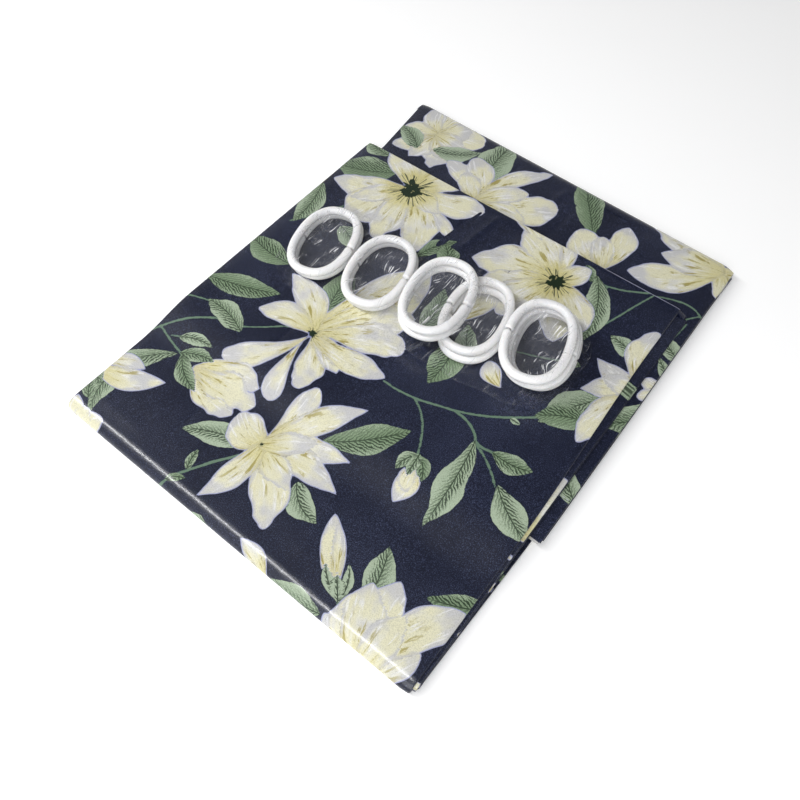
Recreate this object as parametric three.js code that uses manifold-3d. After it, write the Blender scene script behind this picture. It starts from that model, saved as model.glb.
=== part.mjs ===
// A printed satin shower curtain, folded flat for storage, with a clear sachet of
// twelve oval snap rings lying on it. Millimetres, +Z up.
// The cloth is folded in half from hem to header, fan-folded into one long strip,
// and the strip is folded in three like a letter: bottom leaf, inner flap, front flap.
import * as THREE from 'three';
import { mergeVertices } from 'three/addons/utils/BufferGeometryUtils.js';
import Module from 'manifold-3d';

const wasm = await Module();
wasm.setup();

// Driving dimensions
const CURTAIN_WIDTH = 1800;
const FLAP_WIDTH = 269;
const FLAP_DEPTH = 295;
const BACK_LEFT = { x: 0.5, y: 361.5 };
const BACK_RIGHT = { x: 275.5, y: 352 };
const LEFT_BEND = { x: 7.5, y: 303 };
const INNER_END = 106;
const INNER_RIGHT = 277;
const HEM_DEPTH = 31;
const STRIP = 4.4;
const GAP = 0.3;
const FOLD_DEPTH = 8.7;
const HINGE_Y = FOLD_DEPTH + GAP;
const OPENING_ANGLE = 30;
const RAMP_START = 87;
const RAMP_END = 105;

const EYELET_COUNT = 12;
const EYELET_OUTER = 9;
const EYELET_INNER = 5;
const EYELET_THICK = 1;
const EYELET_MARGIN = 15;
const EYELET_SIDES = 16;
const FAN_PANEL = 268;
const FAN_PANELS = 7;

const RING_LENGTH = 64;
const RING_WIDTH = 44;
const RING_BAR = 5.8;
const RING_ROUNDNESS = 2.35;
const RING_LEVEL = RING_BAR + GAP;
const RING_SIDES = 8;
const RING_STEPS = 32;
const SNAP_GAP = 1;
const PIN_RADIUS = 1;
const PIN_REACH = 2.6;
const PIN_SIDES = 8;
const PIN_ROOT = 1;
const SOCKET_RADIUS = 1.3;
const SOCKET_DEPTH = 3;

const FILM = 0.3;
const SACHET_LENGTH = 220;
const SACHET_WIDTH = 87;
const SACHET_CENTRE = { x: 129.2, y: 198.4 };
const SACHET_TURN = 4.7;
const SACHET_WALL = 3.5;
const SACHET_CLIMB = { from: -22, to: -12 };
const CORNER_INSET = 0.28;
const CORNER_POWER = 10;
const FILM_STEPS = { along: 20, across: 6 };

const WELD_DISTANCE = 1e-4;

// Levels of the three folded strips
const SECOND = STRIP + GAP;
const THIRD = 2 * (STRIP + GAP);
const TOP = THIRD + STRIP;
const FOLD_HEIGHT = SECOND + STRIP;

// Each ring: centre on the front flap, level in its pile, turn, and side of its snap
const RINGS = [
  { x: 46.5, y: 192.7, level: 0, turn: 13, snap: 'left' },
  { x: 47.2, y: 190.0, level: 1, turn: 13, snap: 'right' },
  { x: 92.7, y: 195.0, level: 0, turn: 11, snap: 'left' },
  { x: 93.3, y: 192.5, level: 1, turn: 11, snap: 'right' },
  { x: 142.0, y: 191.8, level: 2, turn: 9, snap: 'left' },
  { x: 142.0, y: 191.8, level: 3, turn: 9, snap: 'right' },
  { x: 166.6, y: 200.5, level: 0, turn: 11, snap: 'left' },
  { x: 165.2, y: 202.0, level: 1, turn: 10, snap: 'left' },
  { x: 211.6, y: 211.0, level: 0, turn: 12, snap: 'right' },
  { x: 211.4, y: 208.8, level: 1, turn: 13, snap: 'left' },
  { x: 212.0, y: 202.8, level: 2, turn: 14, snap: 'right' },
  { x: 209.9, y: 201.0, level: 3, turn: 14, snap: 'left' },
];

const COLOURS = {
  cloth: new THREE.MeshStandardMaterial({ color: 0x1b2036, roughness: 0.42 }),
  eyelet: new THREE.MeshStandardMaterial({ color: 0xc9c9c4, roughness: 0.3, metalness: 1 }),
  ring: new THREE.MeshStandardMaterial({ color: 0xf1eeea, roughness: 0.28 }),
  film: new THREE.MeshStandardMaterial({
    color: 0xe8ecf0,
    roughness: 0.1,
    opacity: 0.25,
    transparent: true,
  }),
};

// The whole pack is centred over the origin, resting on the plane z = 0
const pack = new THREE.Group();
pack.position.set(-INNER_RIGHT / 2, -BACK_LEFT.y / 2, 0);

function addNode(name, geometry, material) {
  const mesh = new THREE.Mesh(geometry, material);
  mesh.name = name;
  pack.add(mesh);
  return mesh;
}

function polygon(points) {
  return new THREE.Shape(points.map(([x, y]) => new THREE.Vector2(x, y)));
}

// A flat slab with a given outline seen from above
function slab(points, bottom, height) {
  const geometry = new THREE.ExtrudeGeometry(polygon(points), { depth: height, bevelEnabled: false });
  geometry.translate(0, 0, bottom);
  return geometry;
}

// A profile in the YZ plane, drawn out along X
function alongX(shape, length, curveSegments = 12) {
  const geometry = new THREE.ExtrudeGeometry(shape, { depth: length, bevelEnabled: false, curveSegments });
  const turn = new THREE.Matrix4().makeBasis(
    new THREE.Vector3(0, 1, 0),
    new THREE.Vector3(0, 0, 1),
    new THREE.Vector3(1, 0, 0),
  );
  geometry.applyMatrix4(turn);
  return geometry;
}

// The rounded nose of a fold: half an ellipse, its round side towards -Y
function foldNose() {
  const nose = new THREE.Shape();
  const middle = FOLD_HEIGHT / 2;
  nose.moveTo(FOLD_DEPTH, 0);
  nose.lineTo(FOLD_DEPTH, FOLD_HEIGHT);
  nose.absellipse(FOLD_DEPTH, middle, FOLD_DEPTH, middle, Math.PI / 2, 1.5 * Math.PI, false);
  return nose;
}

// Manifold solids, for the pieces with holes
function toSolid(geometry) {
  const bare = geometry.clone();
  bare.deleteAttribute('normal');
  bare.deleteAttribute('uv');
  const merged = mergeVertices(bare, WELD_DISTANCE);
  const mesh = new wasm.Mesh({
    numProp: 3,
    vertProperties: new Float32Array(merged.attributes.position.array),
    triVerts: new Uint32Array(merged.index.array),
  });
  return new wasm.Manifold(mesh);
}

function toGeometry(solid) {
  const mesh = solid.getMesh();
  const geometry = new THREE.BufferGeometry();
  geometry.setAttribute('position', new THREE.BufferAttribute(mesh.vertProperties, 3));
  geometry.setIndex(new THREE.BufferAttribute(mesh.triVerts, 1));
  geometry.computeVertexNormals();
  return geometry;
}

// The folded cloth
function addBottomLeaf() {
  const outline = [
    [1, HINGE_Y],
    [FLAP_WIDTH, HINGE_Y],
    [BACK_RIGHT.x, BACK_RIGHT.y - HINGE_Y],
    [BACK_LEFT.x, BACK_LEFT.y - HINGE_Y],
    [LEFT_BEND.x, LEFT_BEND.y],
  ];
  addNode('bottom_leaf', slab(outline, 0, STRIP), COLOURS.cloth);
}

function addFrontFold() {
  addNode('front_fold', alongX(foldNose(), FLAP_WIDTH), COLOURS.cloth);
}

function addBackFold() {
  const run = { x: BACK_RIGHT.x - BACK_LEFT.x, y: BACK_RIGHT.y - BACK_LEFT.y };
  const length = Math.hypot(run.x, run.y);
  const mesh = addNode('back_fold', alongX(foldNose(), length), COLOURS.cloth);
  mesh.rotation.z = Math.atan2(run.y, run.x) + Math.PI;
  mesh.position.set(BACK_RIGHT.x, BACK_RIGHT.y, 0);
}

function addInnerFlap() {
  const outline = [
    [LEFT_BEND.x, INNER_END + HEM_DEPTH + GAP],
    [INNER_RIGHT, INNER_END + HEM_DEPTH + GAP],
    [BACK_RIGHT.x, BACK_RIGHT.y - HINGE_Y],
    [BACK_LEFT.x, BACK_LEFT.y - HINGE_Y],
    [LEFT_BEND.x, LEFT_BEND.y],
  ];
  addNode('inner_flap', slab(outline, SECOND, STRIP), COLOURS.cloth);
}

// Eyelets sit at an even pitch along the header, which is fan-folded into the strip
function eyeletPlace(index) {
  const pitch = (CURTAIN_WIDTH - 2 * EYELET_MARGIN) / (EYELET_COUNT - 1);
  const along = EYELET_MARGIN + index * pitch;
  const panel = Math.floor(along / FAN_PANEL);
  const rest = along - panel * FAN_PANEL;
  const across = panel % 2 === 0 ? rest : FAN_PANEL - rest;
  const left = LEFT_BEND.x + (INNER_RIGHT - LEFT_BEND.x - FAN_PANEL) / 2;
  const slot = STRIP / FAN_PANELS;
  return new THREE.Vector3(left + across, INNER_END + HEM_DEPTH / 2, SECOND + (panel + 0.5) * slot);
}

function eyeletGeometry() {
  const half = EYELET_THICK / 2;
  const profile = [
    [EYELET_INNER, -half],
    [EYELET_OUTER, -half],
    [EYELET_OUTER, half],
    [EYELET_INNER, half],
    [EYELET_INNER, -half],
  ].map(([r, z]) => new THREE.Vector2(r, z));
  const geometry = new THREE.LatheGeometry(profile, EYELET_SIDES);
  geometry.rotateX(Math.PI / 2);
  return geometry;
}

function addHeaderHem() {
  const outline = [
    [LEFT_BEND.x, INNER_END],
    [INNER_RIGHT, INNER_END],
    [INNER_RIGHT, INNER_END + HEM_DEPTH],
    [LEFT_BEND.x, INNER_END + HEM_DEPTH],
  ];
  let hem = toSolid(slab(outline, SECOND, STRIP));
  for (let i = 0; i < EYELET_COUNT; i += 1) {
    const place = eyeletPlace(i);
    const radius = EYELET_OUTER + GAP;
    const hole = new THREE.CylinderGeometry(radius, radius, 3 * STRIP, EYELET_SIDES);
    hole.rotateX(Math.PI / 2);
    hole.translate(place.x, place.y, SECOND + STRIP / 2);
    hem = hem.subtract(toSolid(hole));
  }
  addNode('header_hem', toGeometry(hem), COLOURS.cloth);
}

function addEyelets() {
  const geometry = eyeletGeometry();
  for (let i = 0; i < EYELET_COUNT; i += 1) {
    const mesh = addNode(`eyelet_${String(i + 1).padStart(2, '0')}`, geometry, COLOURS.eyelet);
    mesh.position.copy(eyeletPlace(i));
  }
}

// The front flap leaves the fold flat, climbs over the inner flap's end and lies on it.
// Its front face leans back, so that it clears the fold at the end of its travel.
function addFrontFlap() {
  const lean = STRIP * Math.tan(THREE.MathUtils.degToRad(OPENING_ANGLE + 1));
  const profile = polygon([
    [HINGE_Y, SECOND],
    [RAMP_START, SECOND],
    [RAMP_END, THIRD],
    [FLAP_DEPTH, THIRD],
    [FLAP_DEPTH, TOP],
    [RAMP_END - GAP, TOP],
    [RAMP_START - GAP, FOLD_HEIGHT],
    [HINGE_Y + lean, FOLD_HEIGHT],
  ]);
  addNode('front_flap', alongX(profile, FLAP_WIDTH), COLOURS.cloth);
}

// The centre line of a ring, from one snap end round to the other
class RingPath extends THREE.Curve {
  getPoint(t, target = new THREE.Vector3()) {
    const halfWidth = (RING_WIDTH - RING_BAR) / 2;
    const halfLength = (RING_LENGTH - RING_BAR) / 2;
    const start = (SNAP_GAP / 2) / halfLength;
    const angle = start + t * (2 * Math.PI - 2 * start);
    const power = 2 / RING_ROUNDNESS;
    const c = Math.cos(angle);
    const s = Math.sin(angle);
    const x = halfWidth * Math.sign(c) * Math.abs(c) ** power;
    const y = halfLength * Math.sign(s) * Math.abs(s) ** power;
    return target.set(x, y, 0);
  }
}

function barSection(sides) {
  const corners = [];
  for (let i = 0; i < sides; i += 1) {
    const angle = ((i + 0.5) / sides) * 2 * Math.PI;
    corners.push([Math.cos(angle) * RING_BAR / 2, Math.sin(angle) * RING_BAR / 2]);
  }
  return polygon(corners);
}

// One moulded ring: a round bar bent to an oval, with a pin on one end and a socket in the other
function ringGeometry() {
  const path = new RingPath();
  const bar = new THREE.ExtrudeGeometry(barSection(RING_SIDES), { steps: RING_STEPS, extrudePath: path });
  const end = path.getPoint(0);
  const pinLength = PIN_REACH + PIN_ROOT;
  const pin = new THREE.CylinderGeometry(PIN_RADIUS, PIN_RADIUS, pinLength, PIN_SIDES);
  pin.translate(end.x, end.y + PIN_ROOT - pinLength / 2, 0);
  const socketLength = SOCKET_DEPTH + PIN_ROOT;
  const socket = new THREE.CylinderGeometry(SOCKET_RADIUS, SOCKET_RADIUS, socketLength, PIN_SIDES);
  socket.translate(end.x, -end.y + PIN_ROOT - socketLength / 2, 0);
  const solid = toSolid(bar).subtract(toSolid(socket)).add(toSolid(pin));
  return toGeometry(solid);
}

function addRings() {
  const geometry = ringGeometry();
  const lowest = TOP + GAP + FILM + GAP + RING_BAR / 2;
  RINGS.forEach((ring, index) => {
    const mesh = addNode(`ring_${String(index + 1).padStart(2, '0')}`, geometry, COLOURS.ring);
    const flip = ring.snap === 'left' ? 180 : 0;
    mesh.rotation.z = THREE.MathUtils.degToRad(ring.turn + flip);
    mesh.position.set(ring.x, ring.y, lowest + ring.level * RING_LEVEL);
  });
}

// A film sheet: a thin plate whose narrow border is the sachet's side wall.
// heightAt gives how far each point is lifted above the sachet's floor.
function filmSheet(heightAt) {
  const geometry = new THREE.BoxGeometry(2, 2, FILM, FILM_STEPS.along, FILM_STEPS.across, 1);
  const points = geometry.attributes.position;
  const halfLength = SACHET_LENGTH / 2;
  const halfWidth = SACHET_WIDTH / 2;
  const spread = (value, segments, half) => {
    const step = Math.round(((value + 1) / 2) * segments);
    if (step === 0 || step === segments) return value * half;
    const inner = half - SACHET_WALL;
    return ((step - 1) / (segments - 2)) * 2 * inner - inner;
  };
  for (let i = 0; i < points.count; i += 1) {
    const edge = Math.abs(points.getX(i)) > 0.999 || Math.abs(points.getY(i)) > 0.999;
    const s = spread(points.getX(i), FILM_STEPS.along, halfLength);
    const rounding = 1 - CORNER_INSET * Math.abs(s / halfLength) ** CORNER_POWER;
    const t = spread(points.getY(i), FILM_STEPS.across, halfWidth) * rounding;
    points.setXYZ(i, s, t, points.getZ(i) + (edge ? 0 : heightAt(s)));
  }
  geometry.computeVertexNormals();
  return geometry;
}

function addFilm(name, heightAt, bottom) {
  const mesh = addNode(name, filmSheet(heightAt), COLOURS.film);
  mesh.rotation.z = THREE.MathUtils.degToRad(SACHET_TURN);
  mesh.position.set(SACHET_CENTRE.x, SACHET_CENTRE.y, bottom + FILM / 2);
}

function addSachet() {
  const floor = TOP + GAP;
  const pileTop = (levels) => GAP + levels * RING_LEVEL;
  const low = pileTop(2);
  const high = pileTop(4);
  const run = SACHET_CLIMB.to - SACHET_CLIMB.from;
  const heightAt = (s) => {
    const share = THREE.MathUtils.clamp((s - SACHET_CLIMB.from) / run, 0, 1);
    return low + share * (high - low);
  };
  addFilm('sachet_back_film', () => 0, floor);
  addFilm('sachet_front_film', heightAt, floor + FILM + GAP);
}

addBottomLeaf();
addFrontFold();
addBackFold();
addInnerFlap();
addHeaderHem();
addEyelets();
addFrontFlap();
addRings();
addSachet();

export default pack;
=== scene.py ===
"""A printed satin shower curtain folded into a pack, with its sachet of rings lying on it."""

import math

import bmesh
import bpy
import numpy as np
from mathutils import Matrix, Quaternion, Vector


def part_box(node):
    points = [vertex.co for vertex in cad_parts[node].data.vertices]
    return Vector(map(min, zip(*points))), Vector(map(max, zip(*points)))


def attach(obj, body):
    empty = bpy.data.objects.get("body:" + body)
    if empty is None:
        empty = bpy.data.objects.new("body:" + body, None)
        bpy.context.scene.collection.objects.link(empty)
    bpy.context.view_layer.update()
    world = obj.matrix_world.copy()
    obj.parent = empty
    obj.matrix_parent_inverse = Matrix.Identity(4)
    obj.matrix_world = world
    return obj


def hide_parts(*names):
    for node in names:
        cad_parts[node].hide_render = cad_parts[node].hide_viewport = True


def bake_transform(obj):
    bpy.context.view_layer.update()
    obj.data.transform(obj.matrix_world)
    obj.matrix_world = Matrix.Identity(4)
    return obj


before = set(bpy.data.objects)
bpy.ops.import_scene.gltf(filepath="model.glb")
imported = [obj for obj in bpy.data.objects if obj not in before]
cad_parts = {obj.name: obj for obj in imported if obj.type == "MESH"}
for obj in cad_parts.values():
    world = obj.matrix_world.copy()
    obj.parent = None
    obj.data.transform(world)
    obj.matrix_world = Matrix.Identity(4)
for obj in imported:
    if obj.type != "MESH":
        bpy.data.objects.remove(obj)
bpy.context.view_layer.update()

MM = 0.001

# ---------------------------------------------------------------- the frame, in millimetres
# "Pack" coordinates have their corner at the left end of the front fold, on the table.


def cad(node):
    """Lowest and highest corner of a CAD node, in pack millimetres."""
    low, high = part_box(node)
    return (low - CORNER) / MM, (high - CORNER) / MM


CORNER = Vector((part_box("front_fold")[0].x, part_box("front_fold")[0].y, 0))
FLAP_LOW, FLAP_HIGH = cad("front_flap")
HEM_LOW, HEM_HIGH = cad("header_hem")
NOSE_HIGH = cad("front_fold")[1]
LEAF_HIGH = cad("bottom_leaf")[1]
BACK_HIGH = cad("back_fold")[1]

# The front flap, the strip's thickness, and the tops of the lower pack and of the flap over the hem
WIDTH = FLAP_HIGH.x
DEPTH = FLAP_HIGH.y
HINGE_Y = FLAP_LOW.y
STRIP = LEAF_HIGH.z
NOSE_HALF = NOSE_HIGH.z / 2
LOW_TOP = NOSE_HIGH.z
HIGH_TOP = FLAP_HIGH.z

# The inner flap: its right side, its hemmed end and its left side
RIGHT = HEM_HIGH.x
HEM_END = HEM_LOW.y
HEM_DEPTH = HEM_HIGH.y - HEM_LOW.y
INNER_LEFT = HEM_LOW.x

# The back fold is fuller than its CAD solid, runs askew and stops short of the right side
BACK_SKEW = 9.5
BACK_FULLNESS = 3.2
BACK_LEFT_Y = BACK_HIGH.y - 0.5 + BACK_FULLNESS
BACK_LEFT_X = 0.5
BACK_RIGHT_X = 276.5
LEFT_BEND_Y = 303.0
INNER_SPAN = 275.0

PANELS = 7
LAYERS = 2 * PANELS
PLY = STRIP / LAYERS
CURTAIN = 1.8
CLOTH_STEP = 1.0
LAYER_STEP = 3.0


def smooth(t):
    """0 to 1 with soft ends."""
    t = np.clip(t, 0.0, 1.0)
    return t * t * (3 - 2 * t)


def place(x, y, z):
    """Pack millimetres to an array of row-frame points in metres."""
    x, y, z = np.broadcast_arrays(x, y, z)
    return np.stack([x * MM + CORNER.x, y * MM + CORNER.y, z * MM], -1)


# ---------------------------------------------------------------- meshes from grids


def grids_object(name, grids):
    """One smooth mesh from grids: dicts with "points" (rows, columns, 3) and fields of the same size."""
    points, quads, fields, start = [], [], {}, 0
    for grid in grids:
        rows, columns = grid["points"].shape[:2]
        index = start + np.arange(rows * columns).reshape(rows, columns)
        corners = [index[:-1, :-1], index[:-1, 1:], index[1:, 1:], index[1:, :-1]]
        faces = np.stack(corners, -1).reshape(-1, 4)
        if "holes" in grid:
            inside = grid["holes"].reshape(-1)
            faces = faces[~inside[faces - start].any(1)]
        quads.append(faces)
        points.append(grid["points"].reshape(-1, 3))
        for key, values in grid.get("fields", {}).items():
            fields.setdefault(key, []).append(values.reshape(-1, 3))
        start += rows * columns
    mesh = bpy.data.meshes.new(name)
    mesh.from_pydata(np.concatenate(points).tolist(), [], np.concatenate(quads).tolist())
    for key, values in fields.items():
        attribute = mesh.attributes.new(key, "FLOAT_VECTOR", "POINT")
        attribute.data.foreach_set("vector", np.concatenate(values).astype(np.float32).ravel())
    mesh.polygons.foreach_set("use_smooth", [True] * len(mesh.polygons))
    mesh.update()
    piece = bpy.data.objects.new(name, mesh)
    bpy.context.scene.collection.objects.link(piece)
    return piece


# ---------------------------------------------------------------- the printed pattern
# Blades are petals and leaves: a bent spine with a rounded or pointed outline on it.
# The pattern's own millimetres run across the strip (u) and along it (v).

OUTSIDE = -40.0


def blade(kind, base, tip, half, bend=0.0, widest=0.5, root=0.8, end=0.8, wave=0.0, tone=0.5):
    """A petal or leaf from base to tip: half is its half width, bend its sideways sag."""
    return {
        "kind": kind, "base": np.array(base, float), "tip": np.array(tip, float),
        "half": half, "bend": bend, "widest": widest, "root": root, "end": end,
        "wave": wave, "tone": tone,
    }


def leaf(base, tip, half, bend=0.0, widest=0.45, wave=0.05, tone=0.5):
    """A leaf's blade. A low tone makes it darker and its hatching denser."""
    return blade("leaf", base, tip, half, bend, widest, 0.85, 1.0, wave, tone)


def petal(centre, angle, length, half, bend=0.0, widest=0.62, end=0.55, wave=0.05, root=0.55):
    """A petal that starts behind a flower's centre and points along an angle in degrees."""
    way = np.array([math.cos(math.radians(angle)), math.sin(math.radians(angle))])
    base = np.array(centre, float) - way * 2.5
    return blade("petal", base, base + way * (length + 4), half, bend, widest, root, end, wave)


def flower(centre, petals, eye=0.0):
    """Petals round a centre, the last on top. eye is the radius of a dark middle, or 0."""
    return {
        "blades": [petal(centre, *p) for p in petals],
        "eye": (np.array(centre, float), eye),
    }


def plain(*blades):
    """A motif without a centre."""
    return {"blades": list(blades), "eye": None}


def bud(petals, leaves=()):
    """Petals given by base and tip, with leaves over them."""
    return plain(*[blade("petal", *p) for p in petals], *[leaf(*one) for one in leaves])


def single(*numbers):
    """A leaf on its own."""
    return plain(leaf(*numbers))


def stem(half, *points):
    """A line through points. It is drawn a little thinner than half says."""
    return {"points": np.array(points, float), "half": 0.75 * half}


# Each flower has its centre, its petals and the radius of its dark middle. A petal is an angle in
# degrees, a length, a half width and a bend. Its widest place, how pointed its tip is and its waviness
# follow where they matter.
MAIN_FLOWERS = [
    flower((87, 131), [
        (72, 92, 20, -5, 0.58, 0.7), (48, 66, 15, 4, 0.62), (27, 60, 13, 4, 0.72, 0.5, 0.09),
        (146, 52, 10.5, -7, 0.55, 0.8), (187, 41, 9.5, -6, 0.6, 0.7),
        (233, 57, 9.5, 6, 0.74, 0.45, 0.03), (-60, 40, 10, 4, 0.7, 0.6, 0.09),
        (-79, 52, 7.5, -3, 0.82, 0.45, 0.03), (-22, 34, 8, 3, 0.6, 0.9),
        (3, 57, 9, -3, 0.66, 0.8),
    ], 4.5),
    flower((115, 55), [
        (24, 54, 9, 4, 0.45, 0.95, 0.1), (166, 25, 12.5, 3, 0.55, 0.5), (86, 47, 8.8, -3, 0.66, 0.5),
        (56, 65, 8.8, 3, 0.56, 0.95), (3, 55, 9.5, 4, 0.5, 1.0, 0.06), (-45, 52, 11.5, 4, 0.6, 0.6, 0.1),
        (-20, 34, 9, 0, 0.5, 0.8), (-98, 46, 8.5, 4, 0.5, 1.0), (38, 32, 8, 0, 0.5, 0.8),
    ], 1.6),
    flower((57, 274), [
        (78, 44, 17, 3, 0.6), (148, 42, 11, -4, 0.6), (206, 58, 13, 6, 0.6, 0.8, 0.08),
        (52, 44, 12, 2, 0.6), (248, 56, 17, -3, 0.64, 0.7, 0.09), (-50, 60, 15, 4, 0.6, 0.8, 0.09),
        (-82, 54, 12, 0, 0.62, 0.7, 0.09), (-22, 52, 5.5, 3, 0.84, 0.5, 0.02),
        (14, 56, 12, -3, 0.7, 0.6, 0.07),
        (228, 44, 9, 0, 0.55, 0.8), (-15, 30, 10, 0, 0.5, 0.8),
    ], 13.0),
    flower((187, 264), [
        (112, 44, 14, 4, 0.6), (196, 58, 15, -6, 0.58, 0.7, 0.09), (146, 50, 13, -5, 0.66, 0.7, 0.09),
        (218, 50, 15, 3, 0.6, 0.7, 0.09), (250, 48, 15, -3, 0.6, 0.7, 0.09),
        (-60, 48, 13, 2, 0.6, 0.7, 0.09),
        (-34, 42, 12, 3, 0.6), (60, 26, 9, 0, 0.5),
    ], 10.0),
    flower((276, 222), [
        (108, 48, 9.5, 7, 0.62, 0.5, 0.09), (171, 35, 8, 3, 0.5, 1.0), (212, 37, 8.5, -2, 0.52, 1.0),
        (254, 54, 10, -4, 0.6, 0.7, 0.08), (190, 24, 8, 0, 0.5),
    ]),
    flower((240, -14), [
        (56, 38, 8, -2, 0.66, 0.6), (150, 34, 12, -4, 0.6, 0.8), (66, 68, 11.5, 4, 0.72, 0.85, 0.05),
        (126, 42, 11, 3, 0.6, 0.8, 0.05), (99, 55, 12, 2, 0.66, 0.8, 0.09),
        (114, 49, 12, 0, 0.64, 0.8, 0.06),
        (84, 42, 10, 0, 0.6, 0.8),
    ]),
    flower((14, -14), [(118, 26, 9, 2, 0.6, 0.9), (58, 24, 8, 2, 0.6), (90, 20, 8, 0, 0.6)]),
]

# Petals and leaves here are given by base, tip, half width and bend, then by blade's other numbers
MAIN_BUDS = [
    bud([((42, 68), (88, 81), 10.5, 3, 0.6, 0.6, 0.6, 0.14),
         ((42, 66), (87, 58), 9.5, -3, 0.62, 0.6, 0.55, 0.14),
         ((42, 67), (94, 71), 11, 0, 0.6, 0.6, 0.5, 0.2, 0.7)], [
         ((30, 70), (58, 56), 6, -3),
         ((28, 70), (52, 78), 5, 2)]),
    bud([((206, 16), (178, 49), 7.4, 1, 0.5, 0.7, 0.7, 0.03),
         ((205, 18), (182, 47), 4.4, -1, 0.5, 0.8, 0.8, 0.03)], [
         ((212, 13), (192, 25), 3.2, 2, 0.55, 0.05, 0.8),
         ((212, 13), (203, 32), 3.0, -2, 0.55, 0.05, 0.8),
         ((212, 12), (201, 24), 3.4, 0, 0.5, 0.05, 0.8)]),
    bud([((195, 102), (199, 74), 7.5, 2, 0.55, 0.8, 0.9),
         ((196, 101), (201, 82), 5.5, -2, 0.55, 0.8, 0.7)], [
         ((194, 105), (188, 90), 4.5, -2),
         ((194, 105), (205, 92), 4.8, 2),
         ((194, 106), (196, 90), 3.6)]),
    bud([((-8, 30), (38, 49), 8.5, -4, 0.5, 0.8, 0.85),
         ((-8, 36), (20, 48), 6, 3, 0.5, 0.8, 0.8)], [
         ((-14, 34), (6, 22), 6)]),
    bud([((172, -4), (146, 6), 6, -2, 0.5, 0.8, 0.9),
         ((170, -8), (150, -6), 7, 0, 0.5, 0.8, 0.8)]),
    bud([((128, 300), (160, 290), 6, 2, 0.5, 0.9, 0.8)]),
    # A thin pale line along the flap's free edge, drawn in the petals' colours: partly the pale cloth at
    # the rolled lip, partly a painted highlight on it
    bud([((203, 294.6), (264, 294.6), 0.45, 0, 0.5, 0.2, 0.2)]),
    bud([((206, 172), (188, 184), 7, 2, 0.6, 0.8, 0.6),
         ((152, 190), (165, 232), 9, 3, 0.6, 0.8, 0.7),
         ((96, 178), (125, 196), 9, 3, 0.6, 0.8, 0.6)], [
         ((40, 214), (62, 202), 8, 2),
         ((140, 176), (132, 214), 8, -3),
         ((178, 178), (162, 200), 7, 2)]),
]

# Single leaves: base, tip, half width, bend and, where it matters, widest place and waviness
MAIN_LEAVES = [single(*numbers) for numbers in [
    ((-4, 124), (49, 143), 9, -2, 0.5),
    ((50, 104), (13, 110), 8.4, -3, 0.5, 0.1),
    ((19, 78), (43, 85), 4.6, 2),
    ((27, 69), (18, 3), 11, -17, 0.5, 0.06),
    ((112, 50), (69, 33), 8.2, -3, 0.5),
    ((141, 77), (181, 115), 9.4, -3, 0.55),
    ((148, 50), (174, 38), 8, -4, 0.45),
    ((214, 134), (221, 73), 8.6, 2, 0.55, 0.16),
    ((226, 133), (252, 137), 6.6, -2, 0.5),
    ((240, 118), (272, 99), 9.5, -2, 0.55),
    ((223, 19), (214, 53), 8.6, -2, 0.5),
    ((282, 62), (246, 43), 6.5, 2, 0.5),
    ((36, 166), (-6, 170), 10, 3, 0.5),
    ((88, 140), (74, 190), 11, 3, 0.5),
    ((38, 282), (-6, 262), 15, 4, 0.5),
    ((22, 292), (-4, 298), 8, 2, 0.5),
    ((164, 184), (168, 147), 11, 2, 0.45),
    ((100, 224), (114, 253), 6, 3, 0.5),
    ((122, 228), (108, 246), 8, -2, 0.5),
    ((206, 286), (226, 232), 9, 5, 0.5),
    ((196, 290), (206, 278), 4, 1),
    ((262, 240), (238, 248), 7, -2, 0.5),
    ((264, 208), (236, 166), 11, -3, 0.5),
    ((262, 184), (232, 168), 9, -3, 0.5),
    ((208, 2), (172, -2), 8, 2, 0.5),
    ((0, 240), (10, 196), 9, 3, 0.5),
    ((8, 12), (-6, 28), 5, 1),
    ((92, 16), (88, 30), 3, 1),
    ((86, 4), (96, 12), 2.6, 1),
    ((222, 158), (229, 158), 2, 0),
    ((226, 214), (236, 216), 3, 0),
    ((126, -4), (106, -6), 7, 1),
]]

MAIN_STEMS = [
    stem(1.0, (146, 132), (156, 132), (170, 134), (184, 139),
         (193, 142), (206, 148), (220, 157), (236, 170)),
    stem(0.9, (168, 134), (176, 130), (184, 122), (190, 112), (194, 103)),
    stem(1.1, (193, 142), (203, 141), (211, 137), (216, 131), (228, 133)),
    stem(0.9, (216, 131), (224, 128), (232, 123), (240, 116)),
    stem(1.0, (-6, 62), (2, 76), (12, 90), (22, 98), (32, 104)),
    stem(0.9, (2, 77), (12, 74), (24, 71), (34, 69)),
    stem(0.8, (-6, 102), (4, 106), (16, 110)),
    stem(0.8, (48, 108), (58, 115), (70, 126), (80, 131)),
    stem(1.1, (110, 42), (101, 30), (94, 18), (88, 8), (84, -6)),
    stem(0.8, (14, 76), (22, 80)),
    stem(0.9, (204, 282), (214, 281), (226, 285), (238, 292), (250, 299)),
    stem(0.8, (226, 240), (234, 262), (240, 282), (246, 298)),
    stem(0.8, (217, 282), (214, 272), (212, 262)),
    stem(0.9, (8, 196), (20, 212), (30, 232), (38, 258)),
    stem(0.7, (20, 212), (34, 236)),
    stem(0.8, (196, 200), (212, 206), (228, 214)),
    stem(0.9, (210, 15), (215, 8), (222, -4)),
]

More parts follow.
